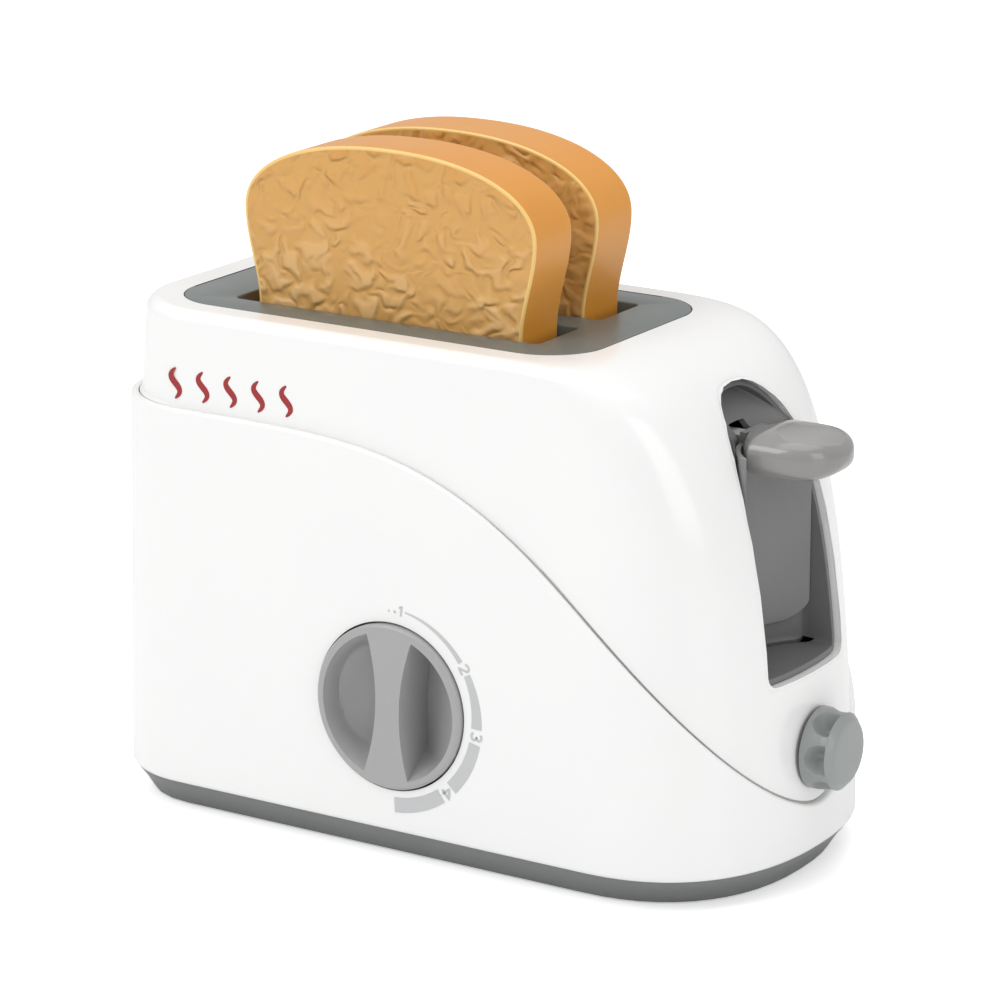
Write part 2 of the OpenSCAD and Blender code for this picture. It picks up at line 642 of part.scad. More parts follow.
// Lever sections from the wall to the tip: half width, underside and top at u from 0 to 1
function swell(u, a, b) = u <= a ? 0 : u >= b ? 1 : (1 - cos(180 * (u - a) / (b - a))) / 2;
function lever_half(u) = (5.6 + (paddle_w / 2 - 5.6) * pow(min(u / 0.19, 1), 0.62))
    * sqrt(max(1 - pow(max(u - 0.45, 0) / 0.55, 2.3), 0.03));
function lever_thick(u) = paddle_t / 2 * sqrt(max(1 - pow(max(u - 0.6, 0) / 0.4, 2.3), 0.06));
function lever_low(u) = paddle_z - lever_thick(u) + 0.9 * swell(0.2 - u, 0, 0.2);
function lever_high(u) = paddle_z + lever_thick(u) - 1.4 * swell(0.25 - u, 0, 0.25);
module lever_form() {
    loft([for (j = [0 : lever_runs]) let(v = j / lever_runs,
        u = v < 0.4 ? v * v : 1 - 0.84 * pow((1 - v) / 0.6, 1.5),
        x = lever_x + (paddle_tip_x - lever_x) * u, w = lever_half(u),
        mid = (lever_low(u) + lever_high(u)) / 2, h = (lever_high(u) - lever_low(u)) / 2)
        [for (k = [0 : lever_sides - 1]) let(a = 360 * k / lever_sides, e = 2 / 3.2)
            [x, w * sign(cos(a)) * pow(abs(cos(a)), e), mid + h * sign(sin(a)) * pow(abs(sin(a)), e)]]]);
}
module lever() color(grey) difference() {
    lever_form();
    block(lever_x - 1, arm_x + 0.3, -arm_w - 0.1, arm_w + 0.1, arm_z - 0.1, arm_z + arm_h + 0.1);
    bar_y(pin_x, arm_z + arm_h / 2, -20, 20, 1.05);
    translate([paddle_tip_x - 11, 0, paddle_z + paddle_t / 2 + 44]) sphere(r = 45.6, $fn = 90);
}
// Curved panel behind and under the lever, with a flat seat for it, holed for the carriage's arm
module lever_shield() color(dark) {
    g = seat_gap + liner_t + 0.35;
    half = recess_w - g;
    difference() {
        union() {
            intersection() {
                difference() {
                    ahead(shield_r + shield_t, shield_z - 1, shield_top);
                    ahead(shield_r, shield_z - 2, shield_top + 1);
                }
                arch_x(liner_back, trough_x - 5, g);
                translate([liner_back, 0, 0]) rotate([90, 0, 90]) linear_extrude(trough_x - 5 - liner_back)
                    polygon(concat([for (i = [0 : 24]) let(y = half * (1 - i / 12))
                        [y, shield_z + 4.5 * pow(abs(y) / half, 4)]],
                        [[-half, shield_top], [half, shield_top]]));
            }
            block(trough_x - shield_r - 0.6, lever_x - 0.1, -5.4, 5.4, arm_z - 2, shield_top);
        }
        block(liner_back, lever_x + 1, -arm_w - 0.15, arm_w + 0.15, arm_z - 0.15, arm_z + arm_h + 0.15);
    }
}
module lever_pin() color(steel) bar_y(pin_x, arm_z + arm_h / 2, -4.9, 4.9, 1);

// ---- Bread ----
slice_cols = 20;
dome_z = slice_shoulder_h;
dome_h = slice_h - slice_shoulder_h;
function slice_half(h) = let(t = min(max((h - 46) / (dome_z - 46), 0), 1))
    slice_waist + (slice_shoulder - slice_waist) * t * t * (3 - 2 * t);
// Slice outline, anticlockwise from the foot's right corner, taken in by g
function slice_pts(g) = let(r = 5) concat(
    [for (i = [0 : 3]) [slice_waist - r + (r - g) * sin(30 * i), r - (r - g) * cos(30 * i)]],
    [for (i = [1 : 7]) let(h = 46 + (dome_z - 46) * (i - 1) / 6) [slice_half(h) - g, h]],
    [for (i = [1 : slice_cols - 1]) let(a = 180 * i / slice_cols)
        [(slice_shoulder - g) * sign(cos(a)) * pow(abs(cos(a)), 0.91),
         dome_z + (dome_h - g) * pow(sin(a), 0.91)]],
    [for (i = [7 : -1 : 1]) let(h = 46 + (dome_z - 46) * (i - 1) / 6) [g - slice_half(h), h]],
    [for (i = [3 : -1 : 0]) [-slice_waist + r - (r - g) * sin(30 * i), r - (r - g) * cos(30 * i)]]);
function slice_ring(y, g, x) = [for (p = slice_pts(g)) [x + p[0], y, rack_z + 0.25 + p[1]]];
module slice(y) {
    x = slot_x + 0.5;
    difference() {
        loft([for (s = [[1, 1], [0.96, 0.3], [0.89, 0], [0, 0], [-0.89, 0], [-0.96, 0.3], [-1, 1]])
            slice_ring(y + slice_t / 2 * s[0], s[1], x)]);
        loft([for (s = [[1, 0.8], [0, 0], [-1, 0.8]])
            slice_ring(y + (slice_t / 2 - slice_wall) * s[0], s[1] + slice_wall, x)]);
        translate([x, y, rack_z - 5]) cylinder(h = 10, r = 2);
    }
}
slice_y = 15.5;
module toast_front() color(bread) slice(-slice_y);
module toast_rear() color(bread) slice(slice_y);

// ---- Dial, clockwork and knob ----
module dial_pocket(s) {
    steps = 16;
    ri = dial_r - dial_rim;
    z1 = ri * cos(asin(grip_end / ri));
    function bar_half(z) = grip_mid + (grip_end - grip_mid) * pow(z / z1, 2);
    flat_y(dial_y - 1, dial_y + pocket_d) translate([0, dial_z]) polygon(concat(
        [for (i = [0 : steps]) let(z = -z1 + 2 * z1 * i / steps) [s * bar_half(z), z]],
        [for (i = [1 : steps - 1]) let(a = asin(z1 / ri) * (1 - 2 * i / steps))
            [s * ri * cos(a), ri * sin(a)]]));
}
module timer_dial() color(grey) difference() {
    bar_y(0, dial_z, dial_y, dial_back, dial_r);
    for (s = [-1, 1]) dial_pocket(s);
    bar_y(0, dial_z, dial_back - 9, dial_back + 1, arbor_r + rod_gap);
}
arbor_end = latch_y + latch_t + 0.4;
module timer_arbor() color(steel) bar_y(0, dial_z, dial_back - 8.8, arbor_end, arbor_r);

// Gear outline with n teeth of module m; each flank is an involute, thinned by the backlash
backlash = 0.07;
function inv_angle(rb, r) = r <= rb ? 0 : let(t = sqrt(pow(r / rb, 2) - 1)) t * 180 / PI - atan(t);
module gear_shape(n, m, turn, ahead) {
    rp = n * m / 2;
    rb = rp * cos(20);
    ra = rp + ahead * m;
    rr = rp - 1.25 * m;
    half = 90 / n - backlash / 2 / rp * 180 / PI;
    rs = [rr, max(rb, rr + 0.05), rp, (rp + ra) / 2, ra];
    polygon([for (i = [0 : n - 1], k = [0 : 9]) let(j = k < 5 ? k : 9 - k, s = k < 5 ? -1 : 1,
        h = half + inv_angle(rb, rp) - inv_angle(rb, rs[j]) + (j == 0 ? 0.1 : 0),
        a = turn + 360 * i / n + s * h) [rs[j] * cos(a), rs[j] * sin(a)]]);
}
module gear_y(spot, y0, y1, n, m, turn, ahead, bore) {
    flat_y(y0, y1) translate(spot) difference() {
        gear_shape(n, m, turn, ahead);
        circle(bore);
    }
}
gear_y0 = front_y + tplate_t + 0.2;
module main_wheel() color(brass) {
    gear_y([0, dial_z], gear_y0 + 0.2, gear_y0 + 2, wheel_teeth, wheel_m, 0, 0.8, arbor_r + rod_gap);
}
module second_pinion() color(brass)
    gear_y(second_spot, gear_y0, gear_y0 + 2.3, pinion_teeth, wheel_m, 180 / pinion_teeth, 0.9,
        pin_r + run_gap);
module second_wheel() color(brass)
    gear_y(second_spot, gear_y0 + 2.4, gear_y0 + 3.7, second_teeth, second_m, fly_turn, 0.8,
        pin_r + run_gap);
module fly_pinion() color(brass)
    gear_y(fly_spot, gear_y0 + 2.3, gear_y0 + 4.3, pinion_teeth, second_m,
        fly_turn + 180 + 180 / pinion_teeth, 0.9, pin_r + run_gap);
module fly_vane() color(steel) difference() {
    union() {
        bar_y(fly_spot[0], fly_spot[1], gear_y0 + 4.4, gear_y0 + 6.8, 2.4);
        block(fly_spot[0] - 5, fly_spot[0] + 5, gear_y0 + 4.5, gear_y0 + 6.7, fly_spot[1] - 0.5,
            fly_spot[1] + 0.5);
    }
    bar_y(fly_spot[0], fly_spot[1], gear_y0, gear_y0 + 9, pin_r + run_gap);
}
module gear_pins() color(steel)
    for (s = [second_spot, fly_spot]) bar_y(s[0], s[1], front_y + 0.1, back_y + tplate_t - 0.1, pin_r);
module tplate(y, ear) {
    flat_y(y, y + tplate_t) difference() {
        union() {
            round_rect(-30, 28, dial_z - 28, dial_z + 28, 4);
            if (ear) round_rect(20, latch_spot[0] + 3.4, latch_spot[1] - 5, dial_z + 28, 3);
        }
        translate([0, dial_z]) circle(arbor_r + run_gap);
        for (s = pillar_spots) translate(s) circle(tscrew_r + bore_gap);
        for (s = [second_spot, fly_spot]) translate(s) circle(pin_r + rod_gap);
        if (ear) translate(latch_spot) circle(1.5 + rod_gap);
    }
}
module timer_front_plate() color(steel) tplate(front_y, false);
module timer_back_plate() color(steel) tplate(back_y, true);
module timer_pillars() color(brass)
    for (p = pillar_spots) difference() {
        bar_y(p[0], p[1], front_y + tplate_t + 0.02, back_y - 0.02, 2.5);
        bar_y(p[0], p[1], front_y, back_y + 1, tscrew_r + bore_gap);
    }
module timer_screws() color(steel)
    for (p = pillar_spots) difference() {
        union() {
            bar_y(p[0], p[1], front_y - 6, back_y + tplate_t + 0.1, tscrew_r);
            bar_y(p[0], p[1], back_y + tplate_t + 0.02, back_y + tplate_t + head_h, 2);
        }
        block(p[0] - 1.5, p[0] + 1.5, back_y + tplate_t + 0.7, back_y + 5, p[1] - 0.3, p[1] + 0.3);
    }
// Flat spring wound round the arbor, its outer end carried to a pillar
coil_n = 96;
coil_turns = 4;
coil_t = 0.45;
coil_r0 = arbor_r + 0.9;
coil_r1 = 11;
coil_out = atan2(pillar_z, pillar_x);
function coil_pt(i, d) = let(a = -360 * coil_turns * (1 - i / coil_n),
    r = coil_r0 + (coil_r1 - coil_r0) * i / coil_n + d) [r * cos(a), r * sin(a)];
coil_end = norm([pillar_x, pillar_z]) - 2.6;
module mainspring() color("#8f949c") flat_y(gear_y0 + 4.3, gear_y0 + 7)
    translate([0, dial_z]) rotate(coil_out) polygon(concat([for (i = [0 : coil_n]) coil_pt(i, 0)],
        [[coil_end, 0], [coil_end, -coil_t], [coil_r1 + coil_t, -coil_t]],
        [for (i = [coil_n - 1 : -1 : 0]) coil_pt(i, coil_t)]));
module latch_pin() color(steel) {
    bar_y(latch_spot[0], latch_spot[1], back_y - 1.5, latch_y + latch_t + 0.1, 1.5);
    bar_y(latch_spot[0], latch_spot[1], latch_y + latch_t + 0.1, latch_y + latch_t + 0.9, 2.6);
}
function cam_r(b) = b < 78 ? cam_high : b < 254 ? cam_high - (cam_high - cam_low) * (b - 78) / 176
    : b < 300 ? cam_low : cam_low + (cam_high - cam_low) * (1 - cos(180 * (b - 300) / 60)) / 2;
module snail_cam() color(brass) flat_y(latch_y, latch_y + latch_t) translate([0, dial_z]) difference() {
    polygon([for (i = [0 : 119]) let(b = 3 * i) [cam_r(b) * cos(b), cam_r(b) * sin(b)]]);
    circle(arbor_r + rod_gap);
}
module latch_lever() color(steel) {
    d = latch_tip - latch_spot;
    l = norm(d);
    flat_y(latch_y, latch_y + latch_t) difference() {
        union() {
            translate(latch_spot) circle(4);
            translate(latch_spot) rotate(atan2(d[1], d[0])) translate([0, -latch_bar])
                square([l, 2 * latch_bar]);
            translate(latch_tip) circle(latch_bar);
            translate([latch_spot[0] - 0.5, latch_spot[1] - 17.4]) square([2.8, 16]);
            translate([latch_spot[0] - 0.5, latch_spot[1] - 17.4]) square([4.3, 2.6]);
        }
        translate(latch_spot) circle(1.5 + run_gap);
    }
}
knob_x = tip_x - 0.35 + 0.3;
shaft_end = tip_x - 9.5;
clip_x = tip_x - 7.4;
module end_knob() color(grey) {
    x = knob_x;
    difference() {
        translate([x, 0, knob_z]) rotate([0, 90, 0]) rotate_extrude() polygon([[0, 0], [knob_r, 0],
            [knob_r, knob_l - 5.8], [knob_r - 0.5, knob_l - 3.6], [knob_r - 0.5, knob_l - 1.9],
            [knob_r - 2.2, knob_l - 0.35], [knob_r - 3, knob_l], [0, knob_l]]);
        intersection() {
            union() for (i = [0 : knob_flutes - 1]) translate([x + knob_l - 3.3, 0, knob_z])
                rotate([360 * (i + 0.5) / knob_flutes, 0, 0]) translate([0, 0, knob_r + 1]) sphere(r = 4.6);
            bar_x(0, knob_z, x + 1.8, x + knob_l - 2.3, knob_r + 9);
        }
    }
    bar_x(0, knob_z, shaft_end + 0.8, x + 1, 2.2);
    bar_x(0, knob_z, clip_x + 1.4, x + 1, shaft_r);
    bar_x(0, knob_z, shaft_end, clip_x - 0.2, shaft_r);
}
module knob_clip() color(steel) translate([clip_x, 0, knob_z]) rotate([0, 90, 0]) difference() {
    cylinder(h = 1.2, r = 5.2);
    translate([0, 0, -1]) cylinder(h = 4, r = 2.2 + rod_gap);
    translate([-1.2, 0, -1]) cube([2.4, 10, 4]);
}

upper_housing();
lower_housing();
base_plate();
rubber_pads();
base_screws();
slot_plate();
lever_recess();
guide_rods();
stop_clips();
lift_springs();
carriage();
lever();
lever_shield();
lever_pin();
toast_front();
toast_rear();
timer_dial();
timer_arbor();
main_wheel();
snail_cam();
second_pinion();
second_wheel();
fly_pinion();
fly_vane();
timer_front_plate();
timer_back_plate();
timer_pillars();
timer_screws();
gear_pins();
mainspring();
latch_pin();
latch_lever();
end_knob();
knob_clip();
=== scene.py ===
"""Visual model of a toy pop-up toaster.

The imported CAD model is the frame. Each class below builds one sub-assembly as smooth
surfaces computed with numpy, in millimetres, and hands them to Blender in metres.
"""

import logging
import math
from contextlib import contextmanager
from dataclasses import dataclass, field
from enum import Enum
from typing import Callable, Iterable, Iterator, Sequence

import bmesh
import bpy
import numpy as np
from bpy.types import Material, Mesh, Node, NodeTree, Object
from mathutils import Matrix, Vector
from mathutils.bvhtree import BVHTree


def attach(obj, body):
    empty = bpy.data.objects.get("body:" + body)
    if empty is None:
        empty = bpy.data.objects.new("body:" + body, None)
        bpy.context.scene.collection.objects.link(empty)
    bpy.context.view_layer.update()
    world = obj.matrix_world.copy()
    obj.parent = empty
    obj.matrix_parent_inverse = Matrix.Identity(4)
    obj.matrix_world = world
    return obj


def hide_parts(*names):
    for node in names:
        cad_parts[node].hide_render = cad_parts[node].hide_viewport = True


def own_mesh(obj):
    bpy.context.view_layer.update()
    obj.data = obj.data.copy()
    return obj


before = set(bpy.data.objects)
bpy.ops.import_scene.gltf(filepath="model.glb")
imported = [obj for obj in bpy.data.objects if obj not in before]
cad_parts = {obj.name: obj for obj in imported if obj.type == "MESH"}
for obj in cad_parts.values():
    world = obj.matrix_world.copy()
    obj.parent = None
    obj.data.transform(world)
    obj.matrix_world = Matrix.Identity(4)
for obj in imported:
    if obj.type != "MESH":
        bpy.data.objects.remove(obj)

log = logging.getLogger("toy_toaster")
MM = 0.001
Rows = np.ndarray
Pair = tuple[float, float]


# ------------------------------------------------------------------ colours and finishes
def linear(code: str) -> tuple[float, float, float, float]:
    """Turns an sRGB hex colour into linear light.

    Args:
        code: Colour as "#rrggbb".

    Returns:
        Red, green, blue and an alpha of 1, each from 0 to 1.
    """
    parts = [int(code[i : i + 2], 16) / 255 for i in (1, 3, 5)]
    return (*[p / 12.92 if p <= 0.04045 else ((p + 0.055) / 1.055) ** 2.4 for p in parts], 1.0)


class Slot(Enum):
    """Names of material slots."""

    WHITE = "white_shell"
    BASE = "base_grey"
    PLATE = "plate_grey"
    RECESS = "recess_grey"
    CONTROL = "control_grey"
    BREAD = "bread_plastic"
    RACK = "rack_plastic"
    STEEL = "steel"
    BRASS = "brass"
    RUBBER = "pad_rubber"


@dataclass(frozen=True)
class Finish:
    """One moulded or metal finish.

    Attributes:
        name: Material name.
        colour: sRGB hex of the surface.
        other: sRGB hex that the colour drifts to in soft patches.
        roughness: Mean roughness.
        spread: How far the roughness drifts in fine patches.
        grain: Height of the fine surface texture, in millimetres.
        grain_size: Size of that texture, in millimetres.
        metallic: 1 for bare metal.
        coat: Weight of a clear gloss over the colour.
        patch: Size of the soft colour patches, in millimetres.
    """

    name: str
    colour: str
    other: str
    roughness: float
    spread: float = 0.04
    grain: float = 0.004
    grain_size: float = 0.5
    metallic: float = 0.0
    coat: float = 0.0
    patch: float = 25.0


def add(tree: NodeTree, kind: str, **values) -> Node:
    """Adds one shader node and sets its plain properties and inputs.

    Args:
        tree: Node tree to add to.
        kind: Node type, without its ShaderNode prefix.
        **values: Property names, or input names with spaces written as underscores.

    Returns:
        The new node.
    """
    node = tree.nodes.new("ShaderNode" + kind)
    for key, value in values.items():
        if hasattr(node, key):
            setattr(node, key, value)
        else:
            node.inputs[key.replace("_", " ")].default_value = value
    return node


def sums(tree: NodeTree, operation: str, value: float | Sequence[float],
         kind: str = "Math") -> Node:
    """Adds a math node whose second input is a constant."""
    node = add(tree, kind, operation=operation)
    node.inputs[1].default_value = value
    return node


def wire(tree: NodeTree, *links: tuple) -> None:
    """Joins nodes; each link is a node, its output, another node and its input."""
    for source, output, target, entry in links:
        tree.links.new(source.outputs[output], target.inputs[entry])


def blank_material(name: str) -> tuple[Material, NodeTree, Node]:
    """Makes a material and returns it with its node tree and its surface shader."""
    mat = bpy.data.materials.new(name)
    mat.use_nodes = True
    return mat, mat.node_tree, mat.node_tree.nodes["Principled BSDF"]


def moulded(f: Finish) -> Material:
    """Builds a material with soft colour drift, uneven gloss and a fine surface texture.

    Args:
        f: The finish to build.

    Returns:
        The material.
    """
    mat, tree, shader = blank_material(f.name)
    shader.inputs["Metallic"].default_value = f.metallic
    shader.inputs["Coat Weight"].default_value = f.coat
    shader.inputs["Coat Roughness"].default_value = 0.08
    place = add(tree, "TexCoord")
    patches = add(tree, "TexNoise", Scale=1 / (f.patch * MM), Detail=2.0)
    tint = add(tree, "MixRGB", Color1=linear(f.colour), Color2=linear(f.other))
    fine = add(tree, "TexNoise", Scale=1 / (f.grain_size * MM), Detail=3.0)
    gloss = add(tree, "MapRange", To_Min=max(f.roughness - f.spread, 0.02),
                To_Max=f.roughness + f.spread)
    bump = add(tree, "Bump", Strength=1.0, Distance=f.grain * MM)
    wire(tree, (place, "Object", patches, "Vector"), (place, "Object", fine, "Vector"),
         (patches, "Fac", tint, "Fac"), (tint, 0, shader, "Base Color"),
         (patches, "Fac", gloss, "Value"), (gloss, "Result", shader, "Roughness"),
         (fine, "Fac", bump, "Height"), (bump, "Normal", shader, "Normal"))
    return mat


SHELL = Finish("shell_white", "#F6F6F5", "#F2F3F2", 0.22, 0.03, 0.002, 0.8, coat=0.3, patch=40)
BASE = Finish("base_grey", "#7A7D7C", "#747776", 0.4, 0.05, 0.010, 0.35)
PLATE = Finish("plate_grey", "#6C7472", "#666D6B", 0.3, 0.05, 0.008, 0.35)
RECESS = Finish("recess_grey", "#7A7A7A", "#747474", 0.46, 0.05, 0.010, 0.35)
APRON = Finish("apron_grey", "#858585", "#7F7F7F", 0.44, 0.05, 0.010, 0.35)
CONTROL = Finish("control_grey", "#918F8D", "#8B8987", 0.2, 0.04, 0.003, 0.5, coat=0.4)
RACK = Finish("rack_plastic", "#C6C6C3", "#BDBDBA", 0.5, 0.05, 0.01, 0.4)
STEEL = Finish("bare_steel", "#B4B7BB", "#A5A8AC", 0.28, 0.07, 0.002, 0.3, metallic=1.0, patch=6)
BRASS = Finish("cut_brass", "#C9A45C", "#B8924A", 0.27, 0.06, 0.002, 0.3, metallic=1.0, patch=6)
RUBBER = Finish("pad_rubber", "#2E2E2F", "#272728", 0.7, 0.05, 0.02, 0.5)
DIAL = Finish("dial_grey", "#A9A9A9", "#A5A5A5", 0.3, 0.04, 0.004, 0.5, coat=0.1)
KNOB = Finish("knob_grey", "#989C9A", "#939795", 0.32, 0.05, 0.006, 0.5, coat=0.1)
CRUST = Finish("bread_crust", "#E39B3D", "#DC9233", 0.36, 0.05, 0.006, 0.6, coat=0.1, patch=18)
# Painted highlight: this paler colour on the band round each toast face stands in for the gloss
# along its edge.
CRUST_EDGE_HIGHLIGHT = Finish("bread_edge_highlight", "#F6CF83", "#F0C472", 0.3, 0.04, 0.004, 0.6, coat=0.2, patch=18)
PRINT = Finish("scale_print", "#C9CACB", "#C2C3C4", 0.5, 0.04, 0.001, 0.4)
RED = Finish("red_print", "#A32A2C", "#992427", 0.42, 0.04, 0.001, 0.4)


# ------------------------------------------------------------------ mesh building
def grid_mesh(name: str, rings: Rows, wrap_u: bool = True, wrap_v: bool = False,
              cap_low: bool = False, cap_high: bool = False) -> Mesh:
    """Makes a mesh from a grid of points.

    Args:
        name: Mesh name.
        rings: Points in mm, shaped (rings, columns, 3).
        wrap_u: Whether each ring closes on itself.
        wrap_v: Whether the last ring joins the first.
        cap_low: Whether the first ring is filled by one face.
        cap_high: Whether the last ring is filled by one face.

    Returns:
        The mesh, in metres.
    """
    m, n = rings.shape[:2]
    index = np.arange(m * n).reshape(m, n)
    rows = np.arange(m if wrap_v else m - 1)
    columns = np.arange(n if wrap_u else n - 1)
    j, i = np.meshgrid(rows, columns, indexing="ij")
    j2, i2 = (j + 1) % m, (i + 1) % n
    quads = np.stack([index[j, i], index[j, i2], index[j2, i2], index[j2, i]], -1).reshape(-1, 4)
    faces = quads.tolist()
    if cap_low:
        faces.append(index[0][::-1].tolist())
    if cap_high:
        faces.append(index[-1].tolist())
    mesh = bpy.data.meshes.new(name)
    mesh.from_pydata((rings.reshape(-1, 3) * MM).tolist(), [], faces)
    mesh.validate()
    return mesh


@contextmanager
def editing(source: Mesh, target: Mesh | None = None) -> Iterator[bmesh.types.BMesh]:
    """Opens a mesh for editing and writes the result back to it, or to another mesh."""
    work = bmesh.new()
    work.from_mesh(source)
    yield work
    work.to_mesh(target or source)
    work.free()


def as_object(mesh: bpy.types.ID, name: str) -> Object:
    """Links a mesh, camera or lamp to the scene as an object at the origin."""
    obj = bpy.data.objects.new(name, mesh)
    bpy.context.scene.collection.objects.link(obj)
    return obj


def joined(name: str, meshes: Iterable[Mesh], weld: float = 0.0) -> Object:
    """Joins meshes into one object with outward normals.

    Args:
        name: Name of the object.
        meshes: Meshes to join; material slots are kept by their order in each mesh.
        weld: Points nearer than this, in mm, are merged.

    Returns:
        The object.
    """
    out = bmesh.new()
    for mesh in meshes:
        out.from_mesh(mesh)
    if weld:
        bmesh.ops.remove_doubles(out, verts=out.verts, dist=weld * MM)
    bmesh.ops.recalc_face_normals(out, faces=out.faces)
    mesh = bpy.data.meshes.new(name)
    out.to_mesh(mesh)
    out.free()
    return as_object(mesh, name)


def arc(cx: float, cy: float, r: float, degrees: Rows) -> Rows:
    """Points at angles on a circle about (cx, cy)."""
    a = np.radians(degrees)
    return np.stack([cx + r * np.cos(a), cy + r * np.sin(a)], -1)


def smooth(obj: Object, angle: float) -> Object:
    """Shades an object smoothly except across edges sharper than an angle, in degrees."""
    obj.data.shade_smooth()
    limit = math.radians(angle)
    with editing(obj.data) as work:
        for edge in work.edges:
            edge.smooth = len(edge.link_faces) == 2 and edge.calc_face_angle(math.pi) < limit
    return obj


def combine(obj: Object, other: Object, operation: str) -> None:
    """Cuts another closed object out of an object, or adds it, and throws the other away."""
    mod = obj.modifiers.new("combine", "BOOLEAN")
    mod.operation, mod.solver, mod.object = operation, "EXACT", other
    bpy.context.view_layer.update()
    graph = bpy.context.evaluated_depsgraph_get()
    mesh = bpy.data.meshes.new_from_object(obj.evaluated_get(graph))
    obj.modifiers.clear()
    obj.data = mesh
    bpy.data.objects.remove(other)


def cut(obj: Object, cutter: Object) -> None:
    """Cuts one closed object out of another and throws the cutter away."""
    combine(obj, cutter, "DIFFERENCE")


def paint(obj: Object, *materials: Material) -> Object:
    """Gives an object these materials, in order, in place of any it has."""
    obj.data.materials.clear()
    for mat in materials:
        obj.data.materials.append(mat)
    return obj


def prism(name: str, outline: Rows, x0: float, x1: float, axis: int = 0) -> Object:
    """Closed prism from an outline in the plane across an axis, from x0 to x1 along it, in mm."""
    rings = np.array([np.insert(outline, axis, x, axis=1) for x in (x0, x1)])
    return joined(name, [grid_mesh(name, rings, cap_low=True, cap_high=True)])


def without(node: str, dropped: Callable[[bmesh.types.BMFace], bool]) -> Mesh:
    """Copies a CAD node's mesh without the faces for which a test holds."""
    mesh = bpy.data.meshes.new(node + "_inner")
    with editing(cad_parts[node].data, mesh) as work:
        doomed = [face for face in work.faces if dropped(face)]
        bmesh.ops.delete(work, geom=doomed, context="FACES")
    return mesh


def inner_faces(node: str, skin: Object, near: float = 0.4) -> Mesh:
    """Copies a CAD node without the faces that a finer skin takes over.

    Args:
        node: CAD node to copy.
        skin: Object that stands for the node's outer faces.
        near: Distance from the skin, in mm, within which a face is dropped.

    Returns:
        The remaining faces as a mesh.
    """
    work = bmesh.new()
    work.from_mesh(skin.data)
    tree = BVHTree.FromBMesh(work)
    work.free()
    return without(node, lambda face: all(
        tree.find_nearest(spot, near * MM)[0] is not None
        for spot in (face.calc_center_median(), *[v.co for v in face.verts])))


def dressed(name: str, skin: Object, *meshes: Mesh) -> Object:
    """Joins a skin with further meshes into one object and throws the skin away."""
    obj = joined(name, [skin.data, *meshes])
    bpy.data.objects.remove(skin)
    return obj


def round_edges(work: bmesh.types.BMesh, edges: list[bmesh.types.BMEdge], r: float) -> None:
    """Rounds edges of an open mesh by a small radius, in mm."""
    bmesh.ops.bevel(work, geom=edges, offset=r * MM, segments=3, profile=0.5, affect="EDGES",
                    clamp_overlap=True)


def signed_power(v: Rows, e: float) -> Rows:
    """Raises the size of each value to a power and keeps its sign."""
    return np.sign(v) * np.abs(v) ** e


def finished(obj: Object, body: str, slot: Slot, *nodes: str) -> Object:
    """Lets a piece ride on a body and hides the CAD nodes it stands for."""
    if nodes:
        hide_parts(*nodes)
    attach(obj, body)
    log.info("%s rides on %s with %d faces", obj.name, body, len(obj.data.polygons))
    return obj


# ------------------------------------------------------------------ the body's form
def bump_to(t: Rows) -> Rows:
    """The step's run from its high end (0) to its low end (1)."""
    return t**3.824 / (t**3.824 + (1 - t) ** 1.42)


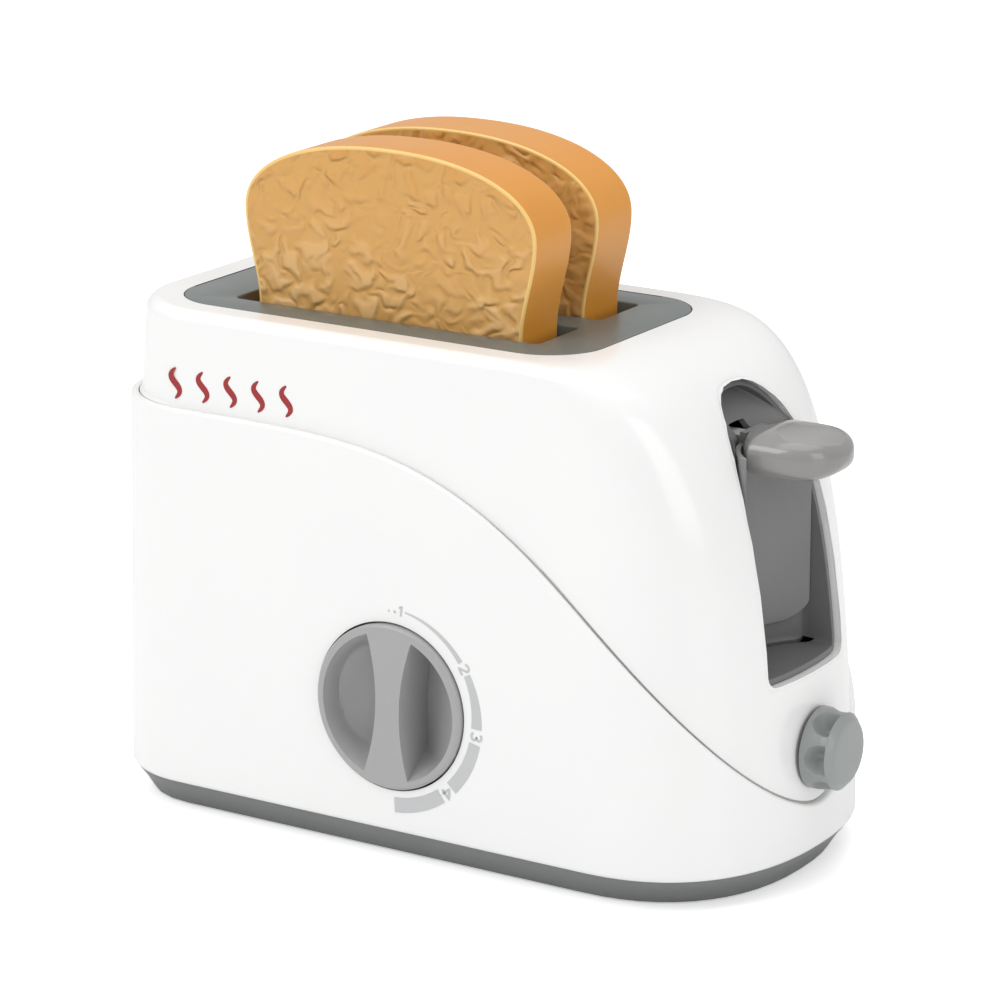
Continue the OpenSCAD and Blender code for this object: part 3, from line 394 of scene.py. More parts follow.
@dataclass
class BodyForm:
    """Plan outlines of the toaster's walls at every height, in mm.

    A wall's outline at height z has a straight rear with round corners, straight sides and
    a nose. The nose is a superellipse quarter: its half width is w (1 - ((x - a)/l)^n)^(1/n),
    with l its length and a where it starts. The tip follows
    x = x0 - z tan(lean) - d (1 - (1 - u^m)^(1/m)), with u the height from 0 to 1. The step
    between the shells follows bump_to along the run of the wall, rounded at the tip.
    """

    length: float = 200.0
    width: float = 103.7
    height: float = 140.7
    wall: float = 2.0
    base: float = 8.0
    lean: float = 0.73
    upper_lean: float = 2.94
    front_lean: float = 0.64
    tip_x: float = 101.0
    step_out: float = 2.5
    side_out: float = 1.5
    front_out: float = 1.3
    step_z: float = 113.8
    step_low: float = 19.2
    step_run: Pair = (60.0, 71.8)
    tip_round: float = 5.0
    tip_low: float = 9.0
    nose_rise: float = 5.4
    key_back: float = 12.7
    rear_r: float = 28.5
    rim: float = 3.5
    roof_back: float = 58.6
    roof_n: float = 2.78
    nose: Pair = (43.3, 25.2)
    power: Pair = (2.36, 4.28)
    nose_columns: int = 72
    side_columns: int = 44
    corner_columns: int = 22
    kind: Rows = field(init=False)
    run: Rows = field(init=False)
    side: Rows = field(init=False)
    step: Rows = field(init=False)
    table: tuple[Rows, Rows] = field(init=False)

    def __post_init__(self) -> None:
        """Lists the columns of an outline: nose, side, rear corner, then the mirrored half."""
        half = [(0, 90 * i / (self.nose_columns - 1)) for i in range(self.nose_columns)]
        half += [(1, i / self.side_columns) for i in range(1, self.side_columns)]
        half += [(2, 90 * i / (self.corner_columns - 1)) for i in range(self.corner_columns)]
        full = [(k, c, 1.0) for k, c in half] + [(k, c, -1.0) for k, c in half[:0:-1]]
        table = np.array(full)
        self.kind, self.run, self.side = table[:, 0].astype(int), table[:, 1], table[:, 2]
        one = self.lower(np.full(len(half) * 2 - 1, 30.0), 0.0)[: len(half)]
        runs = np.concatenate([[0], np.cumsum(np.hypot(*np.diff(one[:, :2], axis=0).T))])
        side_run = runs[self.nose_columns - 1] + one[self.nose_columns - 1, 0] + 15
        ahead, span = self.step_run
        t = np.clip((side_run - np.hypot(runs, self.tip_round) + ahead) / (side_run + span),
                    1e-4, 1 - 1e-4)
        step = self.step_z + 0.4 - (self.step_z - self.step_low + 2.4) * bump_to(t)
        self.step = np.concatenate([step, step[:0:-1]])
        keys = self.key(self.lower(self.step, 0.0))[: len(step)]
        order = np.argsort(keys)
        self.table = (keys[order], step[order])

    def key(self, points: Rows) -> Rows:
        """Orders points round a wall: by bearing round the nose, then by x to the rear."""
        x0 = self.tip_x - self.nose[0] - self.key_back
        x, y = points[:, 0], np.abs(points[:, 1])
        return np.where(x < x0, 90 + x0 - x, np.degrees(np.arctan2(y, x - x0)))

    def above(self, lift: float, t: float) -> Rows:
        """Upper shell's outline a height above the step beside each of its own points."""
        z = self.step + lift
        for _ in range(3):
            z = np.interp(self.key(self.upper(z, t)), *self.table) + lift
        return self.upper(z, t)

    def lower_half(self, z: Rows) -> Rows:
        """Half width of the lower shell at height z."""
        return self.width / 2 - math.tan(math.radians(self.lean)) * (z - self.base)

    def upper_half(self, z: Rows) -> Rows:
        """Half width of the upper shell at height z."""
        raw = self.lower_half(self.step_z) - self.step_out
        raw = raw - math.tan(math.radians(self.upper_lean)) * (z - self.step_z)
        return np.where(z < self.step_z, np.minimum(self.lower_half(z) - self.side_out, raw), raw)

    def lower_rear(self, z: Rows) -> Rows:
        """Place of the lower shell's rear wall at height z."""
        return -self.length / 2 + math.tan(math.radians(self.lean)) * (z - self.base)

    def upper_rear(self, z: Rows) -> Rows:
        """Place of the upper shell's rear wall at height z."""
        lean = math.tan(math.radians(self.upper_lean)) * np.maximum(z - self.step_z, 0)
        return self.lower_rear(np.minimum(z, self.step_z)) + self.step_out + lean

    def tip(self, z: Rows) -> Rows:
        """Place of the nose's tip at height z."""
        u = np.clip((z - self.tip_low) / (self.height - self.tip_low), 0, 1)
        drop = self.roof_back * (1 - (1 - u**self.roof_n) ** (1 / self.roof_n))
        return self.tip_x - math.tan(math.radians(self.front_lean)) * (z - self.base) - drop

    def nose_at(self, z: Rows) -> tuple[Rows, Rows]:
        """Length and squareness of the nose at height z."""
        t = np.minimum(z / self.height, 1) ** self.nose_rise
        length = self.nose[0] + (self.nose[1] - self.nose[0]) * t
        return length, self.power[0] + (self.power[1] - self.power[0]) * t

    def outline(self, z: Rows, rear: Rows, front: Rows, half: Rows, r: Rows, length: Rows,
                n: Rows) -> Rows:
        """Points of all columns on an outline, each at its own height and sizes."""
        a = np.radians(self.run)
        c, s = np.maximum(np.cos(a), 0), np.maximum(np.sin(a), 0)
        nose = self.kind == 0
        straight = self.kind == 1
        x = np.where(nose, front - length + length * c ** (2 / n),
                     np.where(straight, (front - length) * (1 - self.run) + (rear + r) * self.run,
                              rear + r - r * s))
        y = np.where(nose, half * s ** (2 / n), np.where(straight, half, half - r + r * c))
        return np.stack([x, self.side * y, z + 0 * x], -1)

    def upper(self, z: Rows, t: float) -> Rows:
        """Upper shell's outline, taken in by t, at each column's height z."""
        q = np.minimum(z + t, self.height)
        over = np.maximum(q - self.height + self.rim, 0)
        e = t + self.rim - np.sqrt(np.maximum(self.rim**2 - over**2, 0))
        length, n = self.nose_at(q)
        return self.outline(z, self.upper_rear(z) + e, self.tip(q) - t, self.upper_half(z) - e,
                            self.rear_r - self.step_out / 2 - e, length - t / 2, n)

    def lower(self, z: Rows, t: float) -> Rows:
        """Lower shell's outline, taken in by t, at each column's height z."""
        length = self.nose[0] + 0.4 - t / 2
        return self.outline(z, self.lower_rear(z) + t, self.tip(z) + self.front_out - t,
                            self.lower_half(z) - t, self.rear_r - t, length + 0 * z,
                            self.power[0] + 0 * z)

    def end_x(self, y: Rows, z: Rows) -> Rows:
        """Place along X of the upper shell's surface on the nose, at (y, z)."""
        length, n = self.nose_at(z)
        share = np.clip(np.abs(y) / self.upper_half(z), 0, 1)
        return self.tip(z) - length + length * (1 - share**n) ** (1 / n)


FORM = BodyForm()


# ------------------------------------------------------------------ housings
def rounded_rect(x0: float, x1: float, half: float, r: float, steps: int = 16) -> Rows:
    """Outline of a rounded rectangle in X and Y, anticlockwise, in mm."""
    spots = []
    for cx, cy, start in ((x1 - r, half - r, 0), (x0 + r, half - r, 90),
                          (x0 + r, r - half, 180), (x1 - r, r - half, 270)):
        spots.append(arc(cx, cy, r, start + np.linspace(0, 90, steps + 1)))
    return np.concatenate(spots)


@dataclass
class Recess:
    """Arched recess in the nose that the lever runs in, in mm."""

    half: float = 20.0
    sill: float = 56.0
    spring_z: float = 89.6
    crown: float = 131.0
    power: float = 2.67
    edge: float = 1.1
    depth: float = 2.3
    over: float = 0.04

    def outline(self, g: float, steps: int = 128, corner: float = 2.2) -> Rows:
        """Outline in Y and Z, taken in by g, anticlockwise from the sill's right corner.

        The arch is |y/w|^p + ((z - s)/h)^p = 1 above the springing height s.
        """
        w, h = self.half - g, self.crown - self.spring_z - g
        low = self.sill + g
        r = max(corner - g, 0.3)
        a = np.radians(np.linspace(0, 180, steps))
        c, s = np.cos(a), np.clip(np.sin(a), 0, 1)
        arch = np.stack([w * signed_power(c, 2 / self.power),
                         self.spring_z + h * s ** (2 / self.power)], -1)
        rise = np.linspace(low + r, self.spring_z, 14)[:-1]
        right = np.stack([np.full_like(rise, w), rise], -1)
        left = np.stack([np.full_like(rise, -w), rise[::-1]], -1)
        b = np.radians(np.linspace(180, 270, 6))
        turn_left = np.stack([-w + r + r * np.cos(b), low + r + r * np.sin(b)], -1)
        floor = np.linspace(-w + r, w - r, 16)[1:-1]
        base = np.stack([floor, np.full_like(floor, low)], -1)
        turn_right = np.stack([w - r + r * np.cos(b + math.pi / 2),
                               low + r + r * np.sin(b + math.pi / 2)], -1)
        return np.concatenate([right, arch, left, turn_left, base, turn_right[:-1]])

    def rim(self) -> Mesh:
        """Rounded edge and returned wall of the white shell round the opening."""
        over = self.over
        rings = [(over - (self.edge + over) * (1 - math.sin(turn)),
                  self.edge * (1 - math.cos(turn))) for turn in np.radians(np.linspace(0, 90, 7))]
        rings += [(over, self.depth * 0.8), (over, self.depth), (-1.2, self.depth + 0.2)]
        rows = []
        for g, drop in rings:
            yz = self.outline(g)
            x = FORM.end_x(yz[:, 0], yz[:, 1]) - drop + 0.01
            rows.append(np.insert(yz, 0, x, axis=1))
        return grid_mesh("recess_rim", np.array(rows))


@dataclass
class Housings:
    """The white upper and lower shells and the grey base band, in mm."""

    recess: Recess = field(default_factory=Recess)
    plate_x: float = -18.65
    plate_l: float = 130.7
    plate_w: float = 74.0
    plate_r: float = 16.3
    seat_gap: float = 0.15
    knob_z: float = 35.6
    knob_hole: float = 3.06
    edge: float = 0.8
    foot_r: float = 1.6
    lip: float = 5.0
    groove: float = 0.75
    shell: float = 1.5
    band_foot: float = 6.3
    band_top: float = 1.2
    dial_z: float = 43.0
    dial_hole: float = 23.3
    arch_cut: Pair = (62.0, 120.0)
    knob_cut: Pair = (90.0, 110.0)
    dial_cut: Pair = (-70.0, -44.0)

    def upper(self) -> Object:
        """Upper shell: lip, groove above the step, walls, rounded rim and roof."""
        inset, t = FORM.wall + 0.3, self.shell
        step = FORM.step
        rings = [FORM.lower(step - self.lip, inset), FORM.lower(step + 0.1, inset)]
        levels = 1 - (1 - np.linspace(0, 1, 76)) ** 2.3
        start = FORM.above(self.groove, 0.0)[:, 2]
        rings += [FORM.upper(start + (FORM.height - start) * f, 0.0) for f in levels]
        inner = [FORM.upper(start + t + (FORM.height - t - start - t) * f, t)
                 for f in levels[::-3]]
        inner += [FORM.lower(step + 0.9, inset + t), FORM.lower(step - self.lip, inset + t)]
        outer, inside = np.array(rings), np.array(inner)
        work = bmesh.new()
        work.from_mesh(grid_mesh("skin", outer))
        work.from_mesh(grid_mesh("skin_in", inside))
        cols = outer.shape[1]
        work.verts.ensure_lookup_table()
        first_in = outer.shape[0] * cols
        last = first_in + (inside.shape[0] - 1) * cols
        for i in range(cols):
            k = (i + 1) % cols
            work.faces.new([work.verts[v] for v in (i, last + i, last + k, k)])
        for base, n in ((first_in - cols, cols), (first_in, cols)):
            for i in range(n // 2):
                ids = dict.fromkeys([base + i, base + i + 1, base + n - i - 1, base + (n - i) % n])
                if len(ids) > 2:
                    work.faces.new([work.verts[v] for v in ids])
        bmesh.ops.recalc_face_normals(work, faces=work.faces)
        mesh = bpy.data.meshes.new("skin")
        work.to_mesh(mesh)
        work.free()
        skin = as_object(mesh, "skin")
        gap = self.seat_gap
        half = self.plate_l / 2 + gap
        hole = rounded_rect(self.plate_x - half, self.plate_x + half, self.plate_w / 2 + gap,
                            self.plate_r + gap, 24)
        cut(skin, prism("plate_cut", hole, FORM.height - 8, FORM.height + 5, axis=2))
        cut(skin, prism("arch_cut", self.recess.outline(-self.recess.edge), *self.arch_cut))
        ring = arc(0, self.knob_z, self.knob_hole, np.arange(0, 360, 7.5))
        cut(skin, prism("knob_cut", ring, *self.knob_cut))
        inner_mesh = inner_faces("upper_housing", skin)
        return smooth(dressed("upper_shell", skin, self.recess.rim(), inner_mesh), 32)

    def lower(self) -> Object:
        """Lower shell: rounded foot, wall with the dial's hole, and the proud rounded step."""
        step, r, foot_r = FORM.step, self.edge, self.foot_r
        rings = []
        for turn in np.radians(np.linspace(90, 0, 7)):
            rings.append(FORM.lower(np.full_like(step, FORM.base + foot_r * (1 - math.sin(turn))),
                                    1.2 * (1 - math.cos(turn))))
        foot = np.full_like(step, FORM.base + foot_r)
        for f in np.linspace(0, 1, 40)[1:]:
            rings.append(FORM.lower(foot + (step - r - foot) * f, 0.0))
        for turn in np.radians(np.linspace(0, 90, 7))[1:]:
            rings.append(FORM.lower(step - r + r * math.sin(turn), r * (1 - math.cos(turn))))
        rings.append(FORM.lower(step, FORM.wall - 0.15))
        for f in np.linspace(1, 0, 9):
            rings.append(FORM.lower(foot - foot_r + (step - 0.15 - foot + foot_r) * f, FORM.wall))
        skin = joined("skin", [grid_mesh("skin", np.array(rings[::-1]), wrap_v=True)])
        hole = arc(0, self.dial_z, self.dial_hole, np.arange(0, 360, 3))
        cut(skin, prism("dial_cut", hole[::-1], *self.dial_cut, axis=1))
        return smooth(dressed("lower_shell", skin, inner_faces("lower_housing", skin)), 32)

    def band(self) -> Object:
        """Grey base band, tapered in to its foot."""
        flat = np.full_like(FORM.step, FORM.base)
        rows = []
        for z, e in ((0.5, self.band_foot + 1.2), (0.5, self.band_foot + 0.5),
                     (0.75, self.band_foot), (4.0, (self.band_foot + self.band_top) / 2),
                     (7.0, self.band_top + 0.2), (7.85, self.band_top), (7.85, 2.2)):
            ring = FORM.lower(flat, e)
            ring[:, 2] = z
            rows.append(ring)
        skin = joined("skin", [grid_mesh("skin", np.array(rows))])
        return smooth(dressed("base_band", skin, inner_faces("base_plate", skin, 0.5)), 30)

    def build(self) -> None:
        """Makes the three pieces."""
        white, grey = moulded(SHELL), moulded(BASE)
        finished(paint(self.upper(), white), "housing", Slot.WHITE, "upper_housing")
        finished(paint(self.lower(), white), "housing", Slot.WHITE, "lower_housing")
        finished(paint(self.band(), grey), "housing", Slot.BASE, "base_plate")


# ------------------------------------------------------------------ slot plate
def raised_cos(u: Rows, a: float, b: float) -> Rows:
    """Rises from 0 at a to 1 at b along half a cosine wave."""
    return (1 - np.cos(math.pi * np.clip((u - a) / (b - a), 0, 1))) / 2


@dataclass
class SlotPlate:
    """Grey plate in the roof with two slots and the chutes below them, in mm."""

    centre: float = -18.65
    length: float = 130.4
    width: float = 73.7
    corner: float = 16.2
    thick: float = 2.0
    slot_x: float = -18.5
    slot_l: float = 97.0
    slot_w: float = 21.0
    slot_y: float = 15.6
    chute: float = 1.5
    low: float = 106.0
    edge: float = 0.35

    def block(self, box: tuple[float, float, float, float], r: float, z0: float,
              z1: float) -> Mesh:
        """Closed rounded block over a box (x0, x1, y middle, half width) with a soft top edge."""
        x0, x1, y, half = box
        rows = []
        for t in np.radians(np.linspace(90, 0, 5)):
            e = self.edge * (1 - math.cos(t))
            ring = rounded_rect(x0 + e, x1 - e, half - e, max(r - e, 0.3), 14)
            rows.append(np.insert(ring + [0, y], 2, z1 - self.edge * (1 - math.sin(t)), axis=1))
        ring = rounded_rect(x0, x1, half, r, 14) + [0, y]
        rows.append(np.insert(ring, 2, z0, axis=1))
        return grid_mesh("block", np.array(rows)[::-1], cap_low=True, cap_high=True)

    def build(self) -> None:
        """Makes the plate as one moulded piece."""
        half = self.length / 2
        plate = joined("plate", [self.block((self.centre - half, self.centre + half, 0,
                                             self.width / 2), self.corner,
                                            FORM.height - self.thick, FORM.height)])
        x0, x1 = self.slot_x - self.slot_l / 2, self.slot_x + self.slot_l / 2
        for y in (-self.slot_y, self.slot_y):
            out = self.chute
            chute = joined("chute", [self.block((x0 - out, x1 + out, y, self.slot_w / 2 + out), 3.5,
                                                self.low, FORM.height - 0.6)])
            combine(plate, chute, "UNION")
        for y in (-self.slot_y, self.slot_y):
            hole = rounded_rect(x0, x1, self.slot_w / 2, 2.0, 10) + [0, y]
            cut(plate, prism("slot", hole, self.low - 5, FORM.height + 5, axis=2))
        top = FORM.height * MM
        with editing(plate.data) as work:
            rim = [e for e in work.edges if all(abs(v.co.z - top) < 1e-6 for v in e.verts)
                   and e.calc_face_angle(0) > 1.2]
            round_edges(work, rim, 0.5)
        plate.name = "roof_plate"
        finished(paint(smooth(plate, 40), moulded(PLATE)), "housing", Slot.PLATE, "slot_plate")


# ------------------------------------------------------------------ recess, apron and lever
@dataclass
class Tub:
    """Grey trough behind the recess's white edge, with a slot in its floor, in mm.

    Its wall's place at (y, z) is x = c - sqrt(r^2 - y^2), with c the trough's axis. Above a
    height h the same round wall leans back by 45 degrees.
    """

    recess: Recess = field(default_factory=Recess)
    centre: float = 102.3
    r: float = 24.8
    lean_z: float = 117.0
    back: float = 62.4
    thick: float = 1.6
    gap: float = 0.15
    corner: float = 3.2
    floor: float = 2.9
    start: float = 2.2
    slot_r: float = 22.2
    slot_half: float = 18.2
    arm_half: float = 4.0
    arm_low: float = 65.3
    arm_high: float = 120.3

    def wall(self, y: Rows, z: Rows, t: float) -> Rows:
        """Place along X of the round wall, a thickness t outside its inner face."""
        r = self.r + t
        s = r - np.sqrt(np.maximum(r**2 - y**2, 0))
        leaning = self.centre - self.r + math.sqrt(2) * (s - t) - (z - self.lean_z)
        return np.maximum(np.minimum(self.centre - r + s, leaning), self.back)

    def front(self, yz: Rows) -> Rows:
        """Place along X of the front edge, a little below the nose's surface."""
        return FORM.end_x(yz[:, 0], yz[:, 1]) - self.start

    def arm_slot(self, yz: Rows) -> Rows:
        """Outline of the arm's slot in the wall, with a point for each column."""
        mid = (self.arm_low + self.arm_high) / 2
        dy, dz = yz[:, 0], yz[:, 1] - mid
        reach = np.minimum(self.arm_half / np.maximum(np.abs(dy), 1e-6),
                           (self.arm_high - mid) / np.maximum(np.abs(dz), 1e-6))
        return np.stack([dy * reach, mid + dz * reach], -1)

    def across(self, yz: Rows, share: float, t: float) -> Rows:
        """Ring on the wall between the arm's slot (0) and the outline (1)."""
        slot = self.arm_slot(yz)
        spot = slot + (yz - slot) * share
        turn = 0.6 * max(share - 0.955, 0) / 0.045 if t == 0 else 0.0
        x = self.wall(spot[:, 0], spot[:, 1], t) + turn**2
        return np.insert(spot, 0, x, axis=1)

    def build(self) -> None:
        """Makes the trough as one closed band: wall, outside, front edge, inside, wall."""
        outer = self.recess.outline(self.gap, corner=self.corner)
        inner = self.recess.outline(self.gap + self.thick, corner=self.corner)
        edge, seen = self.front(outer), self.front(inner)
        low_z = self.recess.sill + self.floor
        floor = (np.abs(inner[:, 0]) < self.slot_half) & (inner[:, 1] < low_z)
        lip = self.centre - np.sqrt(np.maximum(self.slot_r**2 - inner[:, 0] ** 2, 1))
        foot = self.wall(inner[:, 0], inner[:, 1], 0)
        behind = self.wall(outer[:, 0], outer[:, 1], self.thick)

        def ring(yz: Rows, x: Rows) -> Rows:
            return np.insert(yz, 0, x, axis=1)

        rows = [self.across(outer, s, self.thick) for s in np.linspace(0, 1, 6)]
        rows.append(ring(outer, np.where(floor, foot, behind + 0.3 * (edge - behind))))
        rows.append(ring(outer, np.where(floor, lip, behind + 0.6 * (edge - behind))))
        under = (len(rows) - 2, len(rows) - 1)
        rows += [ring(outer, edge - 0.2), ring((outer * 5 + inner) / 6, edge),
                 ring((outer + inner * 5) / 6, seen), ring(inner, seen - 0.25)]
        near = np.where(floor, lip, foot + 0.25 * (seen - foot))
        for share in (0.25, 0.5, 0.75, 0.9, 0.965):
            rows.append(ring(inner, seen - 0.25 + share * (near + 0.3 - seen + 0.25)))
        low = inner.copy()
        low[:, 1] -= np.where(floor, 0.3, 0)
        rows += [ring(inner - (inner - low) * 0.2, near + 0.12), ring(low, near)]
        upper = (len(rows) - 1, len(rows))
        rows += [self.across(inner, s, 0.0)
                 for s in (1.0, 0.99, 0.975, 0.955, *np.linspace(0.93, 0, 26))]
        grid = np.array(rows)
        cols = grid.shape[1]
        work = bmesh.new()
        work.from_mesh(grid_mesh("tub", grid, wrap_v=True))
        work.verts.ensure_lookup_table()
        inside = [int(i) for i in np.flatnonzero(floor)]
        keep = set(inside)
        doomed = []
        for face in work.faces:
            ids = [v.index for v in face.verts]
            r, c = {v // cols for v in ids}, {v % cols for v in ids}
            if c <= keep and r in (set(under), set(upper)):
                doomed.append(face)
        bmesh.ops.delete(work, geom=doomed, context="FACES_ONLY")
        at = work.verts
        pairs = ((under[0], upper[1]), (under[1], upper[0]))
        for o, n in pairs:
            for i, k in zip(inside, inside[1:]):
                work.faces.new([at[o * cols + i], at[o * cols + k], at[n * cols + k],
                                at[n * cols + i]])
        for i in (inside[0], inside[-1]):
            work.faces.new([at[under[0] * cols + i], at[under[1] * cols + i],
                            at[upper[0] * cols + i], at[upper[1] * cols + i]])
        mesh = bpy.data.meshes.new("tub")
        work.to_mesh(mesh)
        work.free()
        tub = joined("lever_tub", [mesh], weld=0.002)
        finished(paint(smooth(tub, 30), moulded(RECESS)), "housing", Slot.RECESS, "lever_recess")


@dataclass
class Apron:
    """Curved panel under the lever that follows the trough's wall, with a seat for it, in mm."""

    centre: float = 102.3
    front_r: float = 22.7
    back_r: float = 24.2
    half: float = 17.9
    low: float = 63.7
    turn: float = 7.0
    wing: float = 116.5
    edge: float = 0.4
    seat: tuple[float, float, float] = (79.0, 80.7, 5.4)
    seat_low: float = 109.8
    seat_high: float = 119.4
    arm: tuple[float, float, float] = (3.15, 111.65, 117.95)

    def panel(self) -> Mesh:
        """Bowed panel with a swept lower edge, a loop of rounded section at every place along Y."""
        e = self.edge
        spots = [(self.half, e * 0.95), (self.half - 0.1, 0.2), (self.half - 0.25, 0.06)]
        span = (self.half - e) * np.sin(np.linspace(math.pi / 2, -math.pi / 2, 81))
        spots += [(float(y), 0.0) for y in span] + [(-y, s) for y, s in spots[::-1]]
        rows = []
        for y, shrink in spots:
            q = min(max((abs(y) - self.half + self.turn) / self.turn, 0), 1)
            low = self.low + self.turn * (1 - math.sqrt(1 - q * q)) + shrink
            high, c = self.wing - shrink, max(e - shrink, 0.02)
            near, far = self.front_r + shrink + c, self.back_r - shrink - c
            bends = ((near, low + c, 270, 180), (near, high - c, 180, 90), (far, high - c, 90, 0),
                     (far, low + c, 0, -90))
            loop = []
            for r0, z0, a0, a1 in bends:
                for a in np.radians(np.linspace(a0, a1, 5)):
                    loop.append((r0 + c * math.cos(a), z0 + c * math.sin(a)))
            ring = np.array([(self.centre - math.sqrt(r * r - y * y), y, z) for r, z in loop])
            rows.append(ring)
        return grid_mesh("panel", np.array(rows), cap_low=True, cap_high=True)

    def box(self, x0: float, x1: float, half: float, low: float, high: float) -> Object:
        """Plain block, used as the seat and to open the arm's hole."""
        yz = np.array([[half, low], [half, high], [-half, high], [-half, low]])
        return prism("block", yz, x0, x1)

    def build(self) -> None:
        """Makes the panel and the seat, each with the arm's hole."""
        panel = joined("panel", [self.panel()])
        seat = self.box(*self.seat, self.seat_low, self.seat_high)
        for part in (panel, seat):
            cut(part, self.box(self.seat[0] - 4, self.seat[1] + 2, *self.arm))
        obj = dressed("lever_apron", panel, seat.data)
        bpy.data.objects.remove(seat)
        finished(paint(smooth(obj, 35), moulded(APRON)), "rack", Slot.RECESS, "lever_shield")


@dataclass
class Lever:
    """Egg-shaped paddle that flares from a narrow root, with a shallow dish on top, in mm."""

    start: float = 80.8
    tip: float = 107.8
    root: float = 5.6
    half: float = 14.0
    mid_z: float = 115.2
    half_z: float = 6.0
    power: float = 3.0
    flare: Pair = (0.19, 0.62)
    wide_from: float = 0.45
    thick_from: float = 0.6
    blunt: float = 2.3
    dish: tuple[float, float, float, float] = (97.0, 0.0, 8.8, 10.0)
    dish_depth: float = 1.7

    def left(self, u: float, start: float) -> float:
        """Share of the full size left at u, rounded off from a start to the tip."""
        return math.sqrt(max(1 - (max(u - start, 0) / (1 - start)) ** self.blunt, 0))

    def section(self, u: float) -> tuple[float, float, float]:
        """Half width, underside and top at a share u of the way to the tip."""
        reach, curve = self.flare
        wide = self.root + (self.half - self.root) * min(u / reach, 1) ** curve
        wide *= self.left(u, self.wide_from)
        thick = self.half_z * self.left(u, self.thick_from)
        rear = raised_cos(np.array([0.25 - u, 0.2 - u]), 0, 0.22)
        return wide, self.mid_z - thick + 0.9 * rear[1], self.mid_z + thick - 1.4 * rear[0]

    def build(self) -> None:
        """Sweeps the sections along X and presses the dish into the top."""
        shares = np.concatenate([0.24 * np.linspace(0, 1, 40)[:-1] ** 2,
                                 1 - 0.76 * np.linspace(1, 0, 90) ** 1.6])
        a = np.radians(np.arange(0, 360, 2.0))
        rows = []
        for u in shares:
            x = self.start + (self.tip - self.start) * u
            half, low, high = self.section(float(u))
            e = 2 / self.power
            y = half * signed_power(np.cos(a), e)
            z = (low + high) / 2 + (high - low) / 2 * signed_power(np.sin(a), e)
            cx, cy, rx, ry = self.dish
            r = np.hypot((x - cx) / rx, (y - cy) / ry)
            press = self.dish_depth * np.clip(1 - r**2.4, 0, 1) ** 0.5
            z = z - np.where(np.sin(a) > 0.15, press, 0)
            rows.append(np.stack([np.full_like(y, x), y, z], -1))
        mesh = grid_mesh("paddle", np.array(rows), cap_low=True, cap_high=True)
        obj = joined("lever_paddle", [mesh])
        finished(paint(smooth(obj, 24), moulded(CONTROL)), "rack", Slot.CONTROL, "lever")


# ------------------------------------------------------------------ timer dial and end knob
def lathe(profile: Sequence[Pair], axis: int, sides: int) -> Rows:
    """Rings of a form turned about an axis; profile gives (along, radius)."""
    a = 2 * math.pi * np.arange(sides) / sides
    rows = []
    for along, r in profile:
        rows.append(np.insert(r * np.stack([np.cos(a), np.sin(a)], -1), axis, along, axis=1))
    return np.array(rows)


